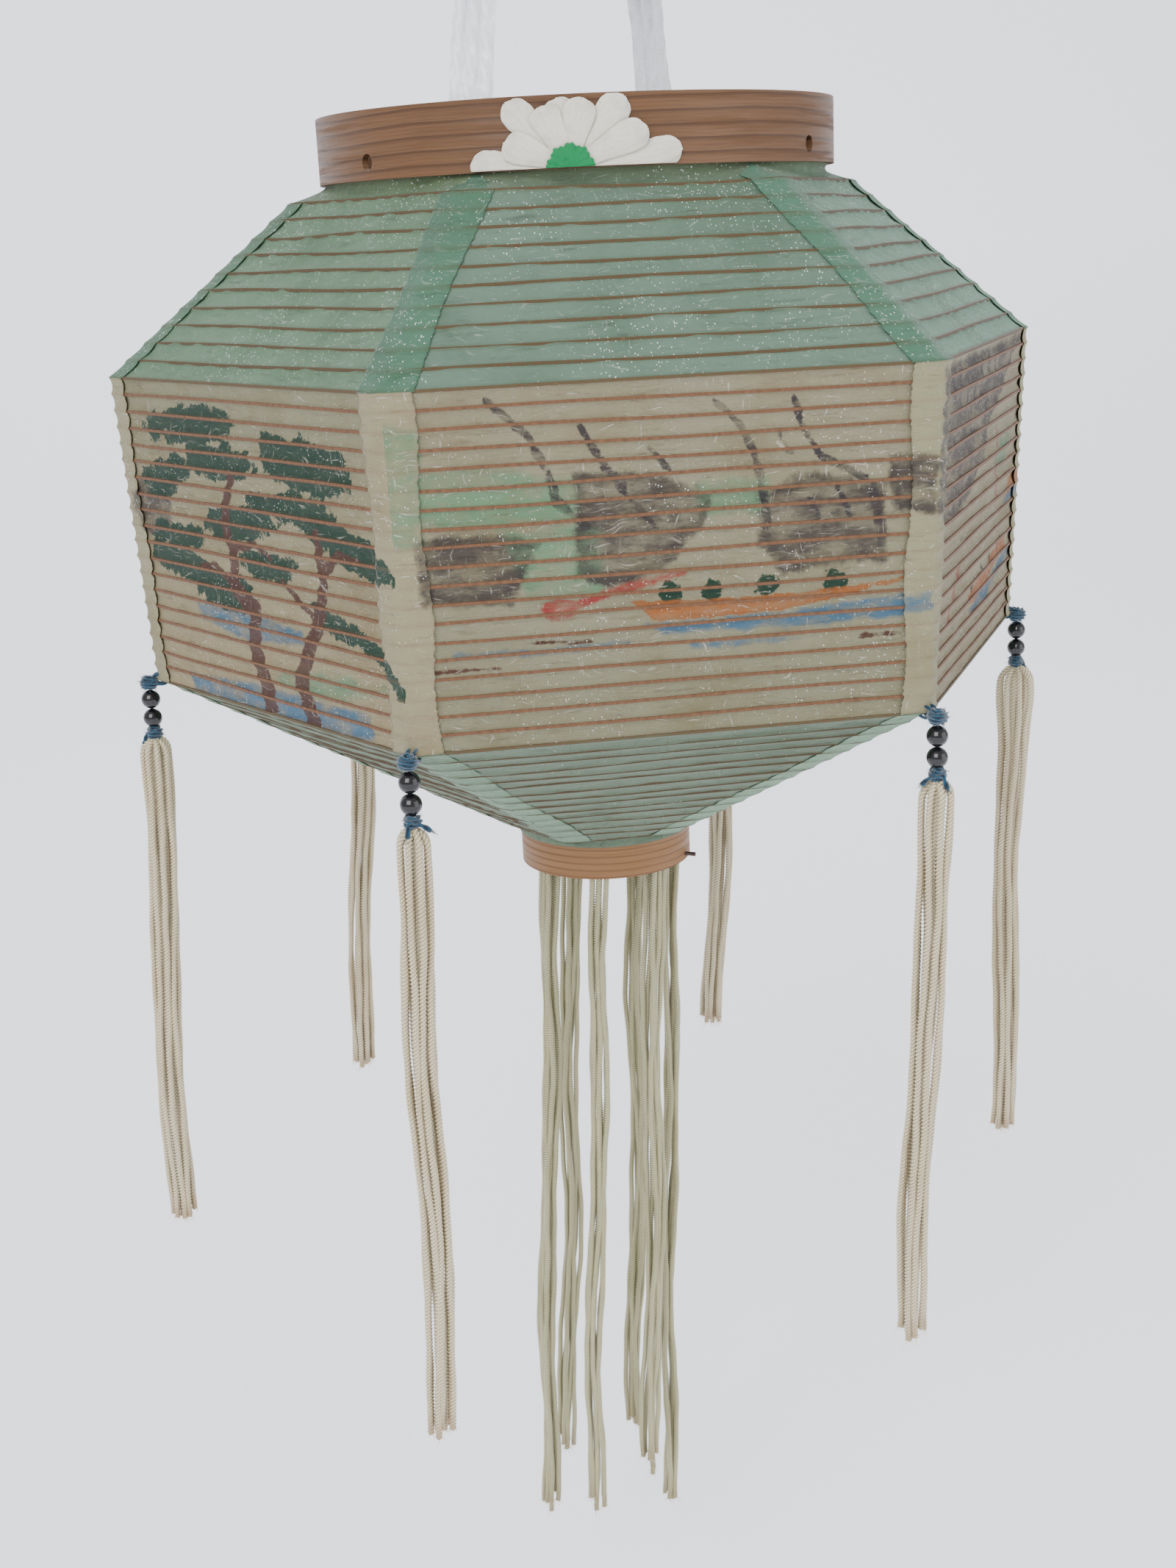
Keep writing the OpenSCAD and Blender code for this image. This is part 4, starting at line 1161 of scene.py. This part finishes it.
def stripFace(name, corner):
    # A doubled strip of paper folded round one corner, over the ribs
    zone = zones[name]
    stops = np.array([9.0, 8.2, 6.6, 4.8, 3.2, 2.0, 1.1, 0.4])
    stops = np.concatenate([-stops, stops[::-1]])
    rng = random.Random(corner * 5 + len(name))
    halfs = [wall["stripHalf"] + 0.7 * math.sin(k / 9 + rng.uniform(0, 0.6)) + rng.uniform(-0.25, 0.25)
             for k in range(zone["bays"] * wall["rows"] + 8)]
    beside = []
    for side in (corner - 1, corner):
        face, drops = wallFace(name, side, np.array([0.0, 1.0]), 0, 0, wall["rows"])
        face, drops = withEnds(name, side, np.array([0.0, 1.0]), face, drops, 0)
        beside.append(face)
    leftFace, rightFace = beside
    steps = bayStep(name)
    angle = math.radians(60 * corner)
    out = np.array([math.cos(angle), math.sin(angle), 0])
    rows = []
    for k in range(len(drops)):
        tip = leftFace[k, 1]
        toLeft = unit(leftFace[k, 0] - tip)
        toRight = unit(rightFace[k, 1] - tip)
        reach = np.abs(stops) * halfs[k] / stops.max()
        away = np.sqrt(reach ** 2 + 1.3 ** 2)
        heading = np.where((stops < 0)[:, None], toLeft, toRight)
        line = tip + heading * (reach * mm)[:, None] - out * ((away - reach) * 0.5 * mm)[:, None]
        sag = 0.62 * (4 * steps[k] * (1 - steps[k])) ** 0.8
        ease = 1 - 0.16 * (np.abs(stops) / 9) ** 4
        rim = (wall["stripOut"] * ease - sag) * mm
        side1 = math.radians(60 * corner - 30)
        side2 = math.radians(60 * corner + 30)
        blend = np.clip(0.5 + stops / 3, 0, 1)[:, None]
        push = unit(np.array([math.cos(side1), math.sin(side1), 0]) * (1 - blend)
                    + np.array([math.cos(side2), math.sin(side2), 0]) * blend)
        rows.append(line + push * rim[:, None])
    return np.array(rows), drops, stops, steps, np.array(halfs[:len(drops)])


def makeStrip(name, corner):
    zone = zones[name]
    face, drops, stops, steps, halfs = stripFace(name, corner)
    face, normal = crinkled(face, 0.07, corner + 40)
    reach = stops[None, :] * halfs[:, None] / 9
    w = np.repeat(drops[:, None], len(stops), 1)
    step = np.repeat(steps[:, None], len(stops), 1)
    tint = np.broadcast_to(np.array(paint(*tints[name + "Strip"][corner])), w.shape + (4,))
    facts = carriedBy(name, corner, reach, w, step, tint, corner * 1.7 + 11)
    if name == "middle":
        radius = (zone["topR"] + (zone["footR"] - zone["topR"]) * w / drops[-1]) / mm / 2
        fromLeft = paintedMarks(corner - 1, radius + reach, w)
        fromRight = paintedMarks(corner, reach - radius, w)
        for layer in layers:
            facts[layer] = np.where(reach < 0, fromLeft[layer], fromRight[layer]) + 0.8
    sheetPart = closedSheet(face, normal, wall["stripThick"] * mm, **facts)
    piece = makePiece(f"{name}_corner_strip_{corner + 1}", [sheetPart], paperLook[name], zone["body"])
    foldFlat(piece, f"{name}_paper")


def ribPart(name, rib, radius, z, stain, seed):
    # One rib: six straight square sticks, bowed a little, meeting at mitred corners
    size = wall["rib"]
    near = np.array([0.4, 1, 2, 4, 8]) * mm / radius
    share = np.concatenate([[0], near, np.linspace(0, 1, 25)[2:-2], 1 - near[::-1]])
    centre, outward = [], []
    for side in range(6):
        middle = math.radians(60 * side + 30)
        normal = np.array([math.cos(middle), math.sin(middle), 0])
        bow = ribBow(name, rib, side, share)
        line = cornerPoint(side, np.float64(radius), z) * (1 - share)[:, None] \
            + cornerPoint(side + 1, np.float64(radius), z) * share[:, None]
        line = line + normal * bow[0][:, None]
        line[:, 2] += bow[1]
        ends = unit(cornerPoint(side, np.float64(1), 0.0))
        far = unit(cornerPoint(side + 1, np.float64(1), 0.0))
        gone = np.minimum(share, 1 - share) * radius / mm  # how far each point is from its corner
        pull = 0.5 * (np.sqrt(gone ** 2 + wall["round"] ** 2) - gone) * mm
        line = line - np.where((share < 0.5)[:, None], ends, far) * pull[:, None]
        centre.append(line)
        outward.append(np.where((share == 0)[:, None], ends, normal))
    centre, outward = np.concatenate(centre), np.concatenate(outward)
    rng = random.Random(seed)
    slack = np.array([rng.uniform(0.86, 1.05) for _ in range(4)])
    up = np.array([0, 0, 1.0])
    rings = np.stack([centre + outward * size * slack[0] + up * size * slack[1],
                      centre + outward * size * slack[0] - up * size * slack[2],
                      centre - outward * size - up * size * slack[2],
                      centre - outward * size + up * size * slack[1]], 1)
    count = len(centre)
    quads = gridFaces(count + 1, 4, True) % (count * 4)
    steps = np.linalg.norm(np.diff(centre, axis=0, prepend=centre[-1:]), axis=1)
    run = np.repeat(np.cumsum(steps) / 0.15 + rng.uniform(0, 90), 4)
    return part(rings, quads[:, ::-1], run=run, rib=float(seed), stain=np.array(paint(*stain)))


ribStain = {"upper": (74, 66, 38), "middle": (108, 72, 45), "lower": (70, 62, 38)}


def makeRibs(name):
    zone = zones[name]
    last = zone["bays"] + (1 if name == "lower" else 0)
    ribs = []
    for rib in range(1, last):
        at = rib / zone["bays"]
        radius = zone["topR"] + (zone["footR"] - zone["topR"]) * at
        z = zone["top"] + (zone["foot"] - zone["top"]) * at
        ribs.append(ribPart(name, rib, radius, z, ribStain[name], rib * 3 + len(name)))
    piece = makePiece(f"{name}_rib_set", ribs, stainedBamboo, zone["body"], 40)
    foldFlat(piece, f"{name}_ribs")


def makeThreads(name):
    low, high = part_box(f"{name}_threads")
    zone = zones[name]
    parts = []
    for corner in range(6):
        inset = 3.4 if name != "lower" else 5.0
        top = cornerPoint(corner, np.float64(zone["topR"] - inset * mm), high.z)
        if name == "upper":
            top = cornerPoint(corner, np.float64(hoopHigh.x - 3.0 * mm), high.z)
        foot = cornerPoint(corner, np.float64(zone["footR"] - inset * mm), low.z)
        line, _ = evenly([top, foot], 0.5 * mm)
        parts.append(tube(line, np.array([-top[1], top[0], 0]), 0.3 * mm, 6, 2, 0.35, 0.5))
    piece = makePiece(f"{name}_thread_set", parts, linenThread, zone["body"])
    foldFlat(piece, f"{name}_threads")


for name in zones:
    makeRibs(name)
    makeThreads(name)
    for side in range(6):
        makePanel(name, side)
        makeStrip(name, side)
    print("lantern:", name, "ribs and paper")


for node, body, radius, z in (("shoulder_rib", "shoulder", shoulderR, shoulderZ),
                              ("corner_rib", "lower_rim", cornerR, cornerZ)):
    stick = makePiece(node + "_stick", [ribPart("middle", 0, radius, z, ribStain["upper"], 7)], stainedBamboo,
                      body, 40)
    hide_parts(node)


# Paper flower on the hoop
flower = {  # each petal: direction from the right, length in mm; odd ones lie under even ones
    "petals": [(6, 32), (27, 23.5), (52, 24), (78, 18.6), (96, 18.8),
               (114, 18), (133, 25), (156, 19.5), (176, 28.5)],
    "azimuth": -100.5, "neck": 2.2, "wide": 4.5, "centre": 6.4, "thick": 0.16,
    "centreThick": 0.9, "crease": 0.1}


def makePetalPaper(name, light, dark, streakCover):
    material, tree, shader = newMaterial(name, **{
        "Roughness": 0.85, "Specular IOR Level": 0.2, "Sheen Weight": 0.2})
    place = put(tree, "UVMap", uv_map="UVMap").outputs[0]
    streak = noise(tree, stretched(tree, place, 1.2, 14.0, 1.0), 5.0, 5.0, 0.65)
    fine = noise(tree, place, 60.0, 4.0, 0.7)
    colour = mixed(tree, calc(tree, "MULTIPLY", spread(tree, streak, 0.45, 0.72), streakCover),
                   paint(*light), paint(*dark))
    smudge = spread(tree, noise(tree, place, 4.0, 4.0), 0.5, 0.75)
    colour = mixed(tree, calc(tree, "MULTIPLY", smudge, 0.4), colour, paint(*dark))
    tree.links.new(colour, shader.inputs["Base Color"])
    bumpInto(tree, shader, calc(tree, "ADD", streak, fine), 0.5, 0.0003)
    return material


ivoryPaper = makePetalPaper("ivoryPaper", (226, 220, 204), (160, 154, 142), 0.35)
leafPaper = makePetalPaper("leafPaper", (12, 130, 74), (6, 90, 52), 0.6)


def onHoop(u, v, lift):  # a flat place on the flower, u to the right and v up, laid on the hoop
    angle = math.radians(flower["azimuth"]) + u * mm / hoopHigh.x
    radius = hoopHigh.x + lift * mm
    return np.stack([radius * np.cos(angle), radius * np.sin(angle), hoopLow.z + v * mm + 0 * angle], -1)


def makePetal(number, direction, length):
    rng = random.Random(500 + number)
    along = 1 - (1 - np.linspace(0, 1, 40)) ** 1.5
    across = np.linspace(-1, 1, 19)
    grow = flower["neck"] + (flower["wide"] - flower["neck"]) * np.clip(along / 0.72, 0, 1) ** 1.3
    tip = np.sqrt(np.clip(1 - (np.clip(along - 0.8, 0, 1) / 0.2) ** 2.2, 0.004, 1))
    phases = [rng.uniform(0, 6.28) for _ in range(8)]
    ragged = 1 + 0.03 * np.sin(along * 9 + phases[0]) + 0.012 * np.sin(along * 47 + phases[1])
    half = grow * tip * ragged
    bend = rng.uniform(-0.9, 0.9)
    x = 3.6 + (length - 3.6) * along
    localU = x[:, None] + 0.2 * np.sin(5 * across[None, :] + phases[7]) * (along[:, None] > 0.97)
    localV = half[:, None] * across[None, :] + bend * (along ** 2)[:, None]
    crease = np.abs(np.sin(5.2 * across[None, :] + 1.4 * np.sin(3 * along + phases[2])[:, None] + phases[3]))
    ripple = 0.12 * np.sin(along * 12 + phases[4])[:, None] * (0.4 + across[None, :] ** 2)
    under = number % 2
    lift = (0.25 if under else 1.15) + flower["crease"] * crease * (0.5 + along)[:, None] \
        + ripple * 0.25 + 0.55 * (1 - across[None, :] ** 2) * np.clip(3 * along, 0, 1)[:, None] \
        + 0.5 * (along ** 3)[:, None] * (0.3 if under else 1.0)
    lift = np.maximum(lift, 0.2)
    turn = math.radians(direction)
    u = localU * math.cos(turn) - localV * math.sin(turn)
    v = localU * math.sin(turn) + localV * math.cos(turn)
    v = np.clip(v, 0.3, 19.3 + 0 * v)
    face = onHoop(u, v, lift)
    normal = unit(face * np.array([1, 1, 0]))
    uv = np.stack([np.repeat(along[:, None], 19, 1), 0.5 + np.repeat(across[None, :], 40, 0) / 8], -1)
    sheet = closedSheet(face, normal, flower["thick"] * mm, uv=uv)
    piece = makePiece(f"petal_paper_{number}", [sheet], ivoryPaper, "hanger")
    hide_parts(f"petal_{number}")


def makeFlowerCentre():
    angle = np.linspace(0, np.pi, 49)
    reach = np.linspace(0.02, 1, 16)
    rim = 1 + 0.05 * np.sin(9 * angle) + 0.04 * np.sin(23 * angle)
    radius = flower["centre"] * reach[:, None] * rim[None, :]
    u, v = radius * np.cos(angle)[None, :], np.clip(radius * np.sin(angle)[None, :], 0.25, 30)
    pleat = np.abs(np.sin(7.5 * angle))[None, :] * reach[:, None]
    face = onHoop(u, v, 2.35 + 0.4 * pleat + 0.9 * (1 - reach[:, None] ** 2))
    normal = unit(face * np.array([1, 1, 0]))
    uv = np.stack([np.repeat(reach[:, None], 49, 1), np.repeat(angle[None, :] / np.pi, 16, 0)], -1)
    heart = closedSheet(face, normal, flower["centreThick"] * mm, uv=uv)
    piece = makePiece("flower_heart", [heart], leafPaper, "hanger")
    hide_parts("flower_centre")


for number, (direction, length) in enumerate(flower["petals"], 1):
    makePetal(number, direction, length)
makeFlowerCentre()
print("lantern: flower")


# Ring of thread that the bottom tassels hang from
def makeFringeRing():
    low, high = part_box("fringe_ring")
    thick = high.z - low.z
    turn = np.linspace(0, 2 * np.pi, 361)
    radius = high.x - thick / 2
    parts = []
    for start in (0.0, np.pi):  # two strands twisted round each other
        twist = start + 46 * turn
        r = radius + 0.24 * thick * np.cos(twist)
        z = (low.z + high.z) / 2 + 0.24 * thick * np.sin(twist)
        line = np.stack([r * np.cos(turn), r * np.sin(turn), z], 1)
        parts.append(tube(line, np.array([0, 0, 1.0]), 0.26 * thick, 7))
    piece = makePiece("twisted_ring", parts, linenThread, "base")
    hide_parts("fringe_ring")


makeFringeRing()


# Studio: a pale floor that curves up behind, three soft lamps and a pale room
studio = {"floorDrop": 40, "back": 1.4, "reach": 3.2, "bend": 0.5, "shade": (243, 244, 249), "glow": 0.5,
          "key": 40, "fill": 16, "rim": 10, "world": 1.0}


def makeStudio():
    low = min(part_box(f"fringe_{n}")[0].z for n in range(1, 7)) - studio["floorDrop"] * mm
    angle = np.linspace(0, np.pi / 2, 24)
    curve = studio["back"] + studio["bend"] * np.sin(angle)
    depth = np.concatenate([[-studio["reach"]], curve, [studio["back"] + studio["bend"]]])
    rise = np.concatenate([[0], studio["bend"] * (1 - np.cos(angle)), [studio["reach"]]])
    across = np.linspace(-studio["reach"], studio["reach"], 3)
    points = np.stack([np.broadcast_to(across, (len(depth), 3)), np.repeat(depth[:, None], 3, 1),
                       np.repeat(low + rise[:, None], 3, 1)], -1)
    mesh = bpy.data.meshes.new("paleFloor")
    faces = gridFaces(len(depth), 3).tolist()
    mesh.from_pydata(points.reshape(-1, 3).tolist(), [], faces)
    mesh.shade_smooth()
    material = newMaterial("paleFloor", **{
        "Roughness": 0.9, "Base Color": paint(*studio["shade"]), "Emission Color": paint(*studio["shade"]),
        "Emission Strength": studio["glow"]})[0]
    mesh.materials.append(material)
    floor = bpy.data.objects.new("paleFloor", mesh)
    bpy.context.scene.collection.objects.link(floor)


def makeLight(name, place, aim, size, power):
    data = bpy.data.lights.new(name, "AREA")
    data.size = size
    data.energy = power
    lamp = bpy.data.objects.new(name, data)
    lamp.location = place
    lamp.rotation_euler = (Vector(aim) - Vector(place)).to_track_quat("-Z", "Y").to_euler()
    bpy.context.scene.collection.objects.link(lamp)


makeStudio()
makeLight("softKey", (-0.9, -1.5, 0.9), (0, 0, -0.2), 1.4, studio["key"])
makeLight("softFill", (1.5, -1.1, 0.1), (0, 0, -0.25), 1.6, studio["fill"])
makeLight("softRim", (0.3, 1.1, 1.1), (0, 0, -0.2), 1.2, studio["rim"])
world = bpy.data.worlds.new("softRoom")
world.use_nodes = True
world.node_tree.nodes["Background"].inputs["Color"].default_value = paint(232, 234, 240)
world.node_tree.nodes["Background"].inputs["Strength"].default_value = studio["world"]
bpy.context.scene.world = world
print("lantern: studio ready")
